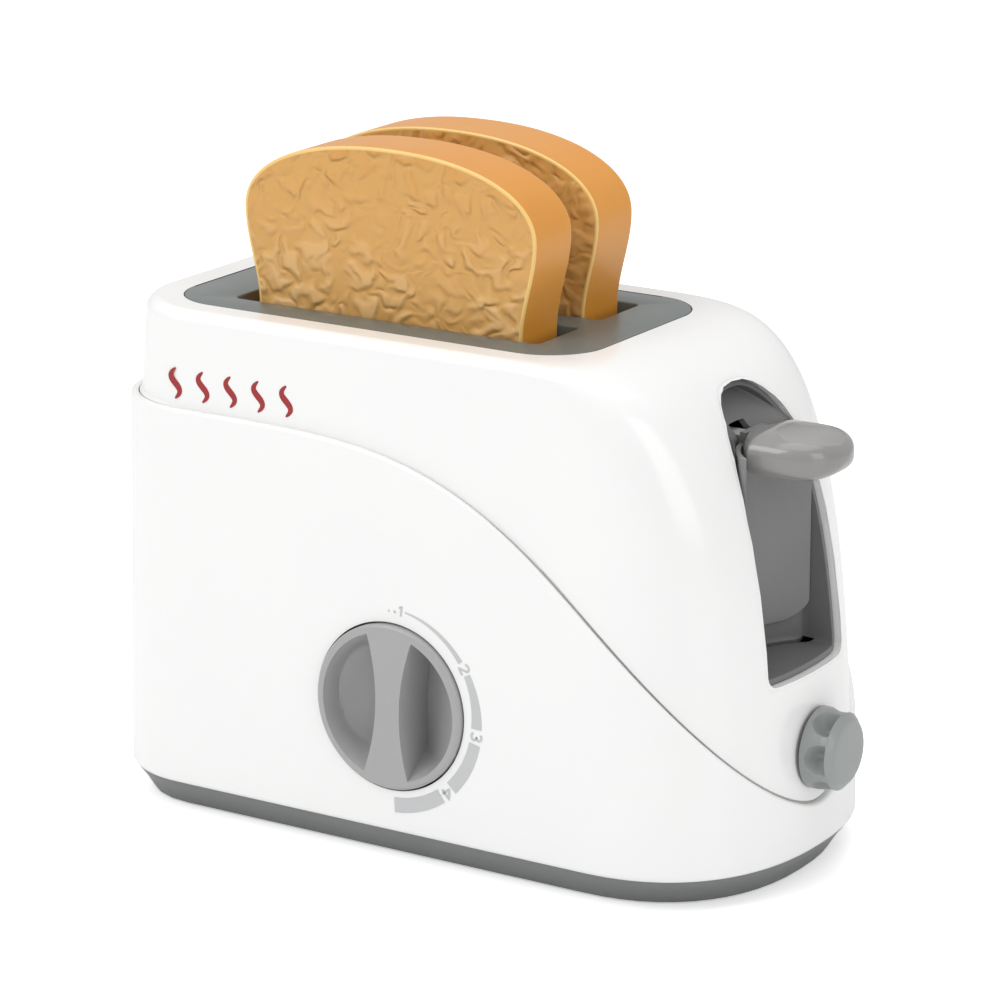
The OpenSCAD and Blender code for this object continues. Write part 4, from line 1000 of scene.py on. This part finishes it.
@dataclass
class Dial:
    """Timer dial: a rim with a bevelled edge, a grip bar and two bowl-shaped pockets, in mm."""

    face_y: float
    back_y: float
    z: float = 43.0
    r: float = 22.8
    inner: float = 20.6
    bevel: float = 1.1
    depth: float = 13.2
    bowl: float = 5.2
    blend: float = 0.3
    mid: float = 3.75
    end: float = 7.0
    turn: float = -2.0
    arbor: float = 2.1

    def bar_end(self) -> float:
        """Height at which the bar's sides meet the rim."""
        return self.inner * math.cos(math.asin(self.end / self.inner))

    def bar(self, z: Rows) -> Rows:
        """Half width of the bar at height z from its middle: mid + (end - mid) (z / z1)^2."""
        return self.mid + (self.end - self.mid) * (z / self.bar_end()) ** 2

    def pocket(self, side: int) -> Object:
        """Closed solid of one pocket: bar wall, sloping bowl and the steep outer wall.

        The depth at a share s across from the bar to the rim is the smaller of the bowl's
        5.2 + 8 (1 - s)^0.9 and of a wall that climbs to the rim.
        """
        z1 = self.bar_end()
        t = np.sin(np.linspace(-math.pi / 2, math.pi / 2, 61)) * 0.9995
        share = np.concatenate([[0, 0.004, 0.012, 0.03], np.linspace(0.06, 0.9, 26),
                                [0.93, 0.955, 0.975, 0.988, 1.0]])
        z = z1 * t
        near, far = self.bar(z), np.sqrt(self.inner**2 - z**2)
        rows = []
        for s in share:
            x = near + (far - near) * s
            rim = np.maximum(self.inner - np.hypot(x, z), 0)
            across = np.abs(x) / np.maximum(np.hypot(x, z), 1e-6)
            wall = rim * (1.3 + 4.2 * across**2)
            bowl = (self.bowl + (self.depth - self.bowl) * (1 - s) ** 0.9)
            bowl = bowl * (1 - 0.25 * np.abs(t) ** 3)
            start = self.depth * min(s / 0.03, 1) ** 0.6 if s < 0.03 else 99
            k = self.blend
            deep = -np.log(np.exp(-wall / k) + np.exp(-bowl / k)) * k
            deep = np.minimum(np.clip(deep, 0, None), start)
            rows.append(np.stack([side * x, self.face_y + deep, z], -1))
        grid = np.array(rows)
        lid = grid.copy()
        lid[..., 1] = self.face_y - 1.0
        edge_a, edge_b = grid[:1].copy(), grid[-1:].copy()
        edge_a[..., 1] = edge_b[..., 1] = self.face_y
        rings = np.concatenate([edge_a, grid, edge_b, lid[::-1]])
        mesh = grid_mesh("pocket", rings, wrap_u=False, wrap_v=True)
        with editing(mesh) as work:
            bmesh.ops.remove_doubles(work, verts=work.verts, dist=1e-7)
            bmesh.ops.holes_fill(work, edges=[e for e in work.edges if e.is_boundary], sides=0)
            bmesh.ops.recalc_face_normals(work, faces=work.faces)
        return as_object(mesh, "pocket")

    def build(self) -> None:
        """Turns the body, cuts both pockets, rounds their edges and sets the dial's angle."""
        y, r, b = self.face_y, self.r, self.bevel
        profile = [(self.back_y, self.arbor), (self.back_y, r - 0.6), (self.back_y - 0.6, r),
                   (y + b, r)]
        for t in np.radians(np.linspace(0, 90, 8))[1:]:
            profile.append((y + b - b * math.sin(t), r - b * (1 - math.cos(t))))
        profile += [(y, self.inner + 0.4)]
        rings = lathe(profile, 1, 180)
        body = joined("dial", [grid_mesh("dial", rings[::-1], cap_low=True, cap_high=True)])
        for side in (-1, 1):
            cut(body, self.pocket(side))
        turn = math.radians(self.turn)
        with editing(body.data) as work:
            rim = [e for e in work.edges if all(abs(v.co.y - y * MM) < 1e-6 for v in e.verts)
                   and all(math.hypot(v.co.x, v.co.z) < (self.inner + 0.05) * MM for v in e.verts)
                   and e.calc_face_angle(0) > 0.35]
            round_edges(work, rim, 0.35)
            for v in work.verts:
                x, z = v.co.x, v.co.z
                v.co.x = x * math.cos(turn) - z * math.sin(turn)
                v.co.z = self.z * MM + x * math.sin(turn) + z * math.cos(turn)
        obj = dressed("timer_dial_face", body)
        finished(paint(smooth(obj, 34), moulded(DIAL)), "dial", Slot.CONTROL, "timer_dial")


@dataclass
class EndKnob:
    """Round end knob with a collar, deep finger scoops and a chamfered front, in mm."""

    x: float = 100.95
    z: float = 35.6
    r: float = 11.0
    face: float = 7.3
    scoops: int = 6
    scoop_long: float = 4.3
    scoop_wide: float = 4.6
    scoop_deep: float = 5.4
    scoop_at: Pair = (5.9, 12.0)
    sides: int = 288

    def profile(self) -> list[Pair]:
        """Turned outline from the wall to the front face."""
        r = self.r
        spots = [(0, r - 0.4), (0.25, r), (3.4, r - 0.05), (5.6, r - 0.45), (6.5, r - 0.5),
                 (7.2, r - 0.5)]
        fine = [spots[0]]
        for (a0, r0), (a1, r1) in zip(spots, spots[1:]):
            steps = max(int((a1 - a0) / 0.22), 1)
            fine += [(a0 + (a1 - a0) * i / steps, r0 + (r1 - r0) * i / steps)
                     for i in range(1, steps + 1)]
        fine += [(7.38, r - 0.56), (8.85, r - 2.2), (9.06, r - 2.55), (9.2, r - 3.1)]
        fine += [(9.2, (r - 3.1) * k) for k in (0.66, 0.33, 0.02)]
        return fine

    def build(self) -> None:
        """Turns the knob and presses the scoops in towards its axis."""
        rows = lathe([(self.x + a, r) for a, r in self.profile()], 0, self.sides)
        at_x, at_r = self.x + self.scoop_at[0], self.scoop_at[1]
        r = np.hypot(rows[..., 1], rows[..., 2])
        angle = np.arctan2(rows[..., 2], rows[..., 1])
        face = rows[..., 0] > self.x + self.face
        new = r.copy()
        for k in range(self.scoops):
            off = angle - 2 * math.pi * k / self.scoops
            off = (off + math.pi) % (2 * math.pi) - math.pi
            side = r * np.sin(off) / self.scoop_wide
            along = (rows[..., 0] - at_x) / self.scoop_long
            inside = 1 - side**2 - along**2
            floor = at_r - self.scoop_deep * np.sqrt(np.clip(inside, 0, None))
            press = np.minimum(new, floor / np.maximum(np.cos(off), 0.5))
            new = np.where((inside > 0) & ~face & (np.abs(off) < 0.6), press, new)
        rows[..., 1:] *= (new / np.maximum(r, 1e-6))[..., None]
        rows[..., 2] += self.z
        skin = joined("knob", [grid_mesh("knob", rows, cap_low=True, cap_high=True)])
        limit = (self.x + 0.05) * MM
        shaft = without("end_knob", lambda face: face.calc_center_median().x > limit)
        obj = dressed("end_knob_turned", skin, shaft)
        finished(paint(smooth(obj, 30), moulded(KNOB)), "knob", Slot.CONTROL, "end_knob")


# ------------------------------------------------------------------ prints on the shells
def print_strip(centre: Rows, half: Rows, wall: Callable[[Rows], Rows], sunk: float,
                proud: float) -> Mesh:
    """Thin raised band on the dial side's wall.

    Args:
        centre: Centre line in X and Z.
        half: Half width at each point of the line.
        wall: Gives the wall's half width at a height.
        sunk: How far the band reaches into the wall.
        proud: How far it stands out of the wall.

    Returns:
        The band as a closed mesh.
    """
    way = np.gradient(centre, axis=0)
    way /= np.maximum(np.linalg.norm(way, axis=1, keepdims=True), 1e-9)
    normal = np.stack([-way[:, 1], way[:, 0]], -1)
    a, b = centre + normal * half[:, None], centre - normal * half[:, None]
    rows = [np.insert(xz, 1, -wall(xz[:, 1]) - out, axis=1)
            for xz, out in ((a, -sunk), (a, proud), (b, proud), (b, -sunk))]
    return grid_mesh("print", np.array(rows), wrap_u=False, wrap_v=True)


def printed(name: str, pieces: list[Mesh], finish: Finish) -> None:
    """Joins the pieces of a print into one object that rides on the housing."""
    obj = paint(joined(name, pieces), moulded(finish))
    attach(obj, "housing")
    log.info("%s has %d faces", name, len(obj.data.polygons))


def numeral_strokes() -> tuple[list[Pair], ...]:
    """Pen strokes of the numbers 1 to 4, each about one unit high round its middle."""
    bow = [(0.34 * math.cos(t) - 0.02, 0.24 + 0.26 * math.sin(t))
           for t in np.radians(np.linspace(165, -45, 10))]
    upper = [(0.3 * math.cos(t) - 0.04, 0.25 + 0.25 * math.sin(t))
             for t in np.radians(np.linspace(150, -85, 10))]
    lower = [(0.34 * math.cos(t) - 0.04, -0.24 + 0.26 * math.sin(t))
             for t in np.radians(np.linspace(85, -150, 11))]
    return ([(-0.24, 0.28), (0.06, 0.5), (0.06, -0.5)],
            [*bow, (-0.36, -0.5), (0.38, -0.5)],
            [*upper, *lower],
            [(0.18, -0.5), (0.18, 0.5), (-0.4, -0.18), (0.42, -0.18)])


@dataclass
class DialScale:
    """Printed scale round the dial: dots, a widening band and the numbers 1 to 4, in mm.

    Angles are clock degrees from the top; the print lies on the lower shell's side wall.
    """

    z: float = 43.0
    sunk: float = 0.03
    proud: float = 0.11
    dot_r: float = 26.5
    dots: tuple[Pair, ...] = ((-1.0, 0.3), (3.0, 0.42))
    numbers: tuple[tuple[float, float, float, float], ...] = (
        (7.0, 27.1, 2.7, 0.28), (58.3, 27.4, 2.9, 0.31), (97.6, 27.4, 3.1, 0.33),
        (139.0, 27.6, 3.3, 0.35))
    bands: tuple[tuple[float, float, Pair, Pair], ...] = (
        (9.8, 54.0, (27.0, 27.4), (26.5, 28.0)), (62.0, 93.0, (26.3, 28.3), (25.6, 28.8)),
        (102.0, 134.5, (25.5, 28.9), (25.3, 29.1)), (143.5, 177.0, (25.2, 29.2), (25.1, 29.3)))

    def shape(self, xz: Rows) -> Mesh:
        """Thin raised patch over a closed outline in X and Z."""
        rows = [np.insert(xz, 1, -FORM.lower_half(xz[:, 1]) - out, axis=1)
                for out in (-self.sunk, self.proud)]
        return grid_mesh("print", np.array(rows), cap_low=True, cap_high=True)

    def strip(self, centre: Rows, half: Rows) -> Mesh:
        """Thin raised band along a centre line in X and Z with a half width at each point."""
        return print_strip(centre, half, FORM.lower_half, self.sunk, self.proud)

    def around(self, angle: Rows, r: Rows) -> Rows:
        """Points at clock angles and radii about the dial's centre."""
        a = np.radians(angle)
        return np.stack([r * np.sin(a), self.z + r * np.cos(a)], -1)

    def band(self, a0: float, a1: float, r0: Pair,
             r1: Pair) -> Mesh:
        """Band from clock angle a0 to a1 whose inner and outer radii run from r0 to r1."""
        t = np.linspace(0, 1, max(int((a1 - a0) / 1.5), 4))
        angle = a0 + (a1 - a0) * t
        inner = r0[0] + (r1[0] - r0[0]) * t
        outer = r0[1] + (r1[1] - r0[1]) * t
        return self.strip(self.around(angle, (inner + outer) / 2), (outer - inner) / 2)

    def numeral(self, stroke: Sequence[Pair], angle: float, r: float,
                size: float, pen: float) -> Mesh:
        """Number drawn in one stroke, its head pointing away from the dial's centre."""
        a = math.radians(angle)
        out = np.array([math.sin(a), math.cos(a)])
        right = np.array([math.cos(a), -math.sin(a)])
        centre = np.array([0, self.z]) + out * r
        spots = np.array(stroke) * size
        line = centre + spots[:, :1] * right + spots[:, 1:] * out
        dense = [line[0]]
        for p, q in zip(line, line[1:]):
            dense += [p + (q - p) * k / 4 for k in (1, 2, 3, 4)]
        return self.strip(np.array(dense), np.full(len(dense), pen))

    def build(self) -> None:
        """Draws the dots, then each number and the band after it, as one print."""
        pieces = []
        for angle, size in self.dots:
            spot = self.around(np.array([angle]), np.array([self.dot_r]))[0]
            pieces.append(self.shape(spot + size * arc(0, 0, 1, np.arange(0, 360, 24))))
        for strokes, number, band in zip(numeral_strokes(), self.numbers, self.bands):
            pieces += [self.numeral(strokes, *number), self.band(*band)]
        printed("dial_scale_print", pieces, PRINT)


@dataclass
class HeatMark:
    """Wavy red heat lines printed high on the upper shell's side wall, in mm."""

    xs: tuple[float, ...] = (-71.5, -62.4, -53.3, -44.2, -35.1)
    low: float = 116.6
    high: float = 125.0

    def build(self) -> None:
        """Draws each line as a thin band with pointed ends that follows the wall."""
        t = np.linspace(0, 1, 41)
        half = 0.12 + 0.8 * np.sin(math.pi * t) ** 0.6
        z = self.low + (self.high - self.low) * t
        pieces = []
        for x in self.xs:
            line = np.stack([x + 1.5 * np.sin(2 * math.pi * t), z], -1)
            pieces.append(print_strip(line, half, FORM.upper_half, 0.05, 0.1))
        printed("heat_mark_print", pieces, RED)


# ------------------------------------------------------------------ slices of bread
def bread_face() -> Material:
    """Moulded toast face: meandering creases tinted a darker brown as painted shade, and darker and
    browner near the crust.
    """
    mat, tree, shader = blank_material("bread_face")
    shader.inputs["Roughness"].default_value = 0.42
    place = add(tree, "TexCoord")
    stretch = add(tree, "Mapping", Scale=(1.0, 0.35, 1.05))
    warp = add(tree, "TexNoise", Scale=80.0, Detail=2.0)
    bend = sums(tree, "MULTIPLY_ADD", (0.009, 0.009, 0.009), "VectorMath")
    creases = add(tree, "TexNoise", Scale=140.0, Detail=1.0, Roughness=0.4, Distortion=0.5)
    middle = sums(tree, "SUBTRACT", 0.5)
    fold = add(tree, "Math", operation="ABSOLUTE")
    vein = add(tree, "MapRange", From_Max=0.24, interpolation_type="SMOOTHSTEP")
    big = add(tree, "TexNoise", Scale=32.0, Detail=1.0)
    fine = add(tree, "TexNoise", Scale=900.0, Detail=2.0)
    height = sums(tree, "MULTIPLY_ADD", 0.55)
    total = sums(tree, "MULTIPLY_ADD", 0.03)
    bump = add(tree, "Bump", Strength=0.85, Distance=0.9 * MM)
    split = add(tree, "SeparateXYZ")
    top = add(tree, "MapRange", From_Min=0.150, From_Max=0.186)
    pale = add(tree, "MixRGB", Color1=linear("#E8BD80"), Color2=linear("#D79A48"))
    # Painted shade: the creases take this fixed darker brown where the bump makes grooves.
    crease_shade = add(tree, "MixRGB", Color1=linear("#D9A55C"))
    patch = add(tree, "MixRGB", Color2=linear("#DFA55A"))
    share = sums(tree, "MULTIPLY", 0.5)
    wire(tree, (place, "Object", stretch, "Vector"), (stretch, "Vector", warp, "Vector"),
         (warp, "Color", bend, 0), (stretch, "Vector", bend, 2),
         (bend, "Vector", creases, "Vector"), (creases, "Fac", middle, 0), (middle, 0, fold, 0),
         (fold, 0, vein, "Value"),
         (place, "Object", big, "Vector"), (place, "Object", fine, "Vector"),
         (big, "Fac", height, 0), (vein, "Result", height, 2), (fine, "Fac", total, 0),
         (height, 0, total, 2), (total, 0, bump, "Height"), (bump, "Normal", shader, "Normal"),
         (place, "Object", split, "Vector"), (split, "Z", top, "Value"),
         (top, "Result", pale, "Fac"), (big, "Fac", share, 0), (share, 0, patch, "Fac"),
         (pale, 0, patch, "Color1"),
         (vein, "Result", crease_shade, "Fac"), (patch, 0, crease_shade, "Color2"),
         (crease_shade, 0, shader, "Base Color"))
    return mat


@dataclass
class Slice:
    """Moulded slice of toast: creased faces, a paler band round each face that is a painted
    highlight, and a smooth flat crust, in mm.
    """

    name: str
    node: str
    body: str
    y: float
    x: float = -18.0
    foot: float = 94.05
    half_low: float = 42.0
    half_high: float = 46.3
    height: float = 92.6
    straight: float = 46.0
    shoulder: float = 72.0
    foot_r: float = 5.0
    dome: float = 0.91
    thick: float = 18.0

    def half_at(self, h: Rows) -> Rows:
        """Half width at a height below the shoulder."""
        t = np.clip((h - self.straight) / (self.shoulder - self.straight), 0, 1)
        return self.half_low + (self.half_high - self.half_low) * t * t * (3 - 2 * t)

    def outline(self, g: float) -> Rows:
        """Outline in X and height, anticlockwise from the foot's right corner, taken in by g.

        Above the shoulder the dome is |x/a|^p + (h/b)^p = 1 with p = 2/dome.
        """
        r = self.foot_r
        a = np.radians(np.linspace(0, 90, 8))
        corner = np.stack([self.half_low - r + (r - g) * np.sin(a), r - (r - g) * np.cos(a)], -1)
        h = np.concatenate([np.linspace(r + 3, self.straight, 12),
                            np.linspace(self.straight, self.shoulder, 20)[1:]])
        side = np.stack([self.half_at(h) - g, h], -1)
        b = np.radians(np.linspace(0, 180, 82))[1:-1]
        c, s = np.cos(b), np.sin(b)
        dome = np.stack([(self.half_high - g) * signed_power(c, self.dome),
                         self.shoulder + (self.height - self.shoulder - g) * s**self.dome], -1)
        left = np.stack([-side[::-1, 0], side[::-1, 1]], -1)
        turn = np.stack([-corner[::-1, 0], corner[::-1, 1]], -1)
        return np.concatenate([corner, side, dome, left, turn])

    def build(self, face: Material, crust: Material,
              edge: Material) -> None:
        """Lofts the crust between the two faces; each face is drawn in to its middle. The edge
        material paints a highlight on the band round each face.
        """
        half = self.thick / 2
        steps = [(1.0, 0.75), (1.003, 0.55), (0.995, 0.33), (0.975, 0.13), (0.94, 0.02), (0.9, 0.0),
                 (0.75, 0.0), (0.5, 0.0), (0.25, 0.0), (0.0, 0.0)]
        steps += [(-y, g) for y, g in steps[-2::-1]]
        shrink = [0.004, 0.1, 0.25, 0.4, 0.55, 0.7, 0.82, 0.9, 0.95, 0.98, 0.996]
        base = self.outline(0.75)
        middle = np.array([0.0, self.straight])
        faces = [(middle + (base - middle) * k, 0.985 + 0.012 * k**8) for k in shrink]
        rows = faces + [(self.outline(g), y) for y, g in steps]
        rows += [(xz, -y) for xz, y in faces[::-1]]
        # Kind 2 is the band at each face's edge that takes the painted highlight colour.
        kinds = [0] * len(shrink) + [2 if abs(y) > 0.97 else 1 for y, g in steps]
        kinds += [0] * len(shrink)
        grid = np.array([np.stack([self.x + xz[:, 0], np.full(len(xz), self.y - half * y),
                                   self.foot + xz[:, 1]], -1) for xz, y in rows])
        mesh = grid_mesh(self.name, grid, cap_low=True, cap_high=True)
        obj = paint(joined(self.name, [mesh]), face, crust, edge)
        columns = grid.shape[1]
        last = len(kinds) - 1
        for poly in obj.data.polygons:
            row = min(min(v // columns for v in poly.vertices), last - 1)
            a, b = kinds[row], kinds[min(row + 1, last)]
            poly.material_index = 2 if 2 in (a, b) else (0 if 0 in (a, b) else 1)
            if len(poly.vertices) > 4:
                poly.material_index = 0
        finished(smooth(obj, 50), self.body, Slot.BREAD, self.node)


# ------------------------------------------------------------------ the inner mechanism
INNER = {
    RUBBER: ("rubber_pads",),
    RACK: ("carriage",),
    STEEL: ("base_screws", "guide_rods", "stop_clips", "lever_pin", "timer_arbor",
            "timer_front_plate", "timer_back_plate", "timer_screws", "gear_pins", "mainspring",
            "latch_pin", "latch_lever", "knob_clip"),
    BRASS: ("main_wheel", "snail_cam", "second_pinion", "second_wheel", "fly_pinion", "fly_vane",
            "timer_pillars"),
}


def dress_mechanism() -> None:
    """Gives every CAD piece that is shown as it is its metal, rubber or plastic finish."""
    for finish, nodes in INNER.items():
        mat = moulded(finish)
        for node in nodes:
            obj = paint(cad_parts[node], mat)
            for poly in obj.data.polygons:
                poly.material_index = 0
            log.info("%s finished as %s", node, finish.name)


def lift_coils() -> None:
    """Copies the two lift springs into an object of their own that rides on the housing."""
    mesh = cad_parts["lift_springs"].data.copy()
    coils = paint(as_object(mesh, "lift_coils"), moulded(STEEL))
    finished(coils, "housing", Slot.STEEL, "lift_springs")
    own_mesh(coils)


# ------------------------------------------------------------------ camera, light and stage
def aimed(name: str, data: bpy.types.ID, spot: Vector, way: Vector) -> Object:
    """Places a camera or a lamp at a spot, looking along a direction."""
    obj = as_object(data, name)
    obj.location = spot
    obj.rotation_mode = "QUATERNION"
    obj.rotation_quaternion = way.to_track_quat("-Z", "Y")
    return obj


@dataclass
class Studio:
    """Plain studio: a pale floor and backdrop, soft light, and the camera."""

    azimuth: float = 32.447
    elevation: float = 16.107
    distance: float = 1.1987
    lens: float = 158.98
    target: tuple[float, float, float] = (0.00177, 0.0, 0.08773)
    lit: tuple[float, float, float] = (0.0, 0.0, 0.08)

    def camera(self) -> None:
        """Places the camera at the photograph's viewing angle."""
        a, e = math.radians(self.azimuth), math.radians(self.elevation)
        back = Vector((math.sin(a) * math.cos(e), -math.cos(a) * math.cos(e), math.sin(e)))
        data = bpy.data.cameras.new("camera")
        data.lens, data.sensor_width = self.lens, 36.0
        data.clip_start, data.clip_end = 0.05, 20
        spot = Vector(self.target) + back * self.distance
        bpy.context.scene.camera = aimed("camera", data, spot, -back)

    def lamp(self, name: str, spot: Sequence[float], size: Pair,
             power: float) -> None:
        """Adds a soft rectangular lamp that faces the middle of the toaster.

        Args:
            name: Lamp name.
            spot: Place in metres.
            size: Width and height in metres.
            power: Watts.
        """
        data = bpy.data.lights.new(name, "AREA")
        data.shape, data.energy = "RECTANGLE", power
        data.size, data.size_y = size
        aimed(name, data, Vector(spot), Vector(self.lit) - Vector(spot))

    def world(self) -> None:
        """White room light; the camera itself sees a pale backdrop."""
        world = bpy.data.worlds.new("room")
        world.use_nodes = True
        bpy.context.scene.world = world
        tree = world.node_tree
        tree.nodes.clear()
        out = add(tree, "OutputWorld")
        room = add(tree, "Background", Color=linear("#FFFFFF"), Strength=0.62)
        seen = add(tree, "Background", Color=linear("#FFFFFF"), Strength=1.0)
        ray = add(tree, "LightPath")
        mix = add(tree, "MixShader")
        wire(tree, (ray, "Is Camera Ray", mix, 0), (room, 0, mix, 1), (seen, 0, mix, 2),
             (mix, 0, out, 0))

    def floor(self) -> None:
        """Wide pale floor with a faint sheen."""
        mesh = bpy.data.meshes.new("floor")
        mesh.from_pydata([(-4, -4, 0), (4, -4, 0), (4, 4, 0), (-4, 4, 0)], [], [(0, 1, 2, 3)])
        floor = as_object(mesh, "floor")
        mat = moulded(Finish("floor_white", "#FFFFFF", "#FEFEFE", 0.3, 0.02, 0.0, 5, patch=300))
        tree = mat.node_tree
        shader, out = tree.nodes["Principled BSDF"], tree.nodes["Material Output"]
        ray = add(tree, "LightPath")
        glow = add(tree, "Emission", Color=linear("#FFFFFF"))
        lift = sums(tree, "MULTIPLY", 0.42)
        both = add(tree, "AddShader")
        wire(tree, (ray, "Is Camera Ray", lift, 0), (lift, 0, glow, "Strength"),
             (shader, 0, both, 0), (glow, 0, both, 1), (both, 0, out, "Surface"))
        paint(floor, mat)

    def build(self) -> None:
        """Sets up the whole studio."""
        scene = bpy.context.scene
        scene.view_settings.view_transform = "Standard"
        self.camera()
        self.world()
        self.floor()
        self.lamp("key", (-0.9, -1.1, 1.5), (1.2, 1.2), 14)
        self.lamp("right", (1.5, -0.5, 0.7), (0.8, 1.2), 5)
        self.lamp("top", (0.0, 0.2, 1.8), (1.5, 1.5), 9)


def main() -> None:
    """Builds the studio and every piece."""
    logging.basicConfig(level=logging.INFO, format="%(name)s: %(message)s")
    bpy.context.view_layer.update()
    Studio().build()
    Housings().build()
    SlotPlate().build()
    Tub().build()
    Apron().build()
    Lever().build()
    Dial(face_y=-52.99, back_y=-37.5).build()
    EndKnob().build()
    DialScale().build()
    HeatMark().build()
    # The third material, edge, is the painted highlight on the band round each face.
    face, crust, edge = bread_face(), moulded(CRUST), moulded(CRUST_EDGE_HIGHLIGHT)
    Slice("toast_slice_front", "toast_front", "front_slice", -15.5).build(face, crust, edge)
    Slice("toast_slice_rear", "toast_rear", "rear_slice", 15.5).build(face, crust, edge)
    dress_mechanism()
    lift_coils()


if __name__ == "__main__":
    main()
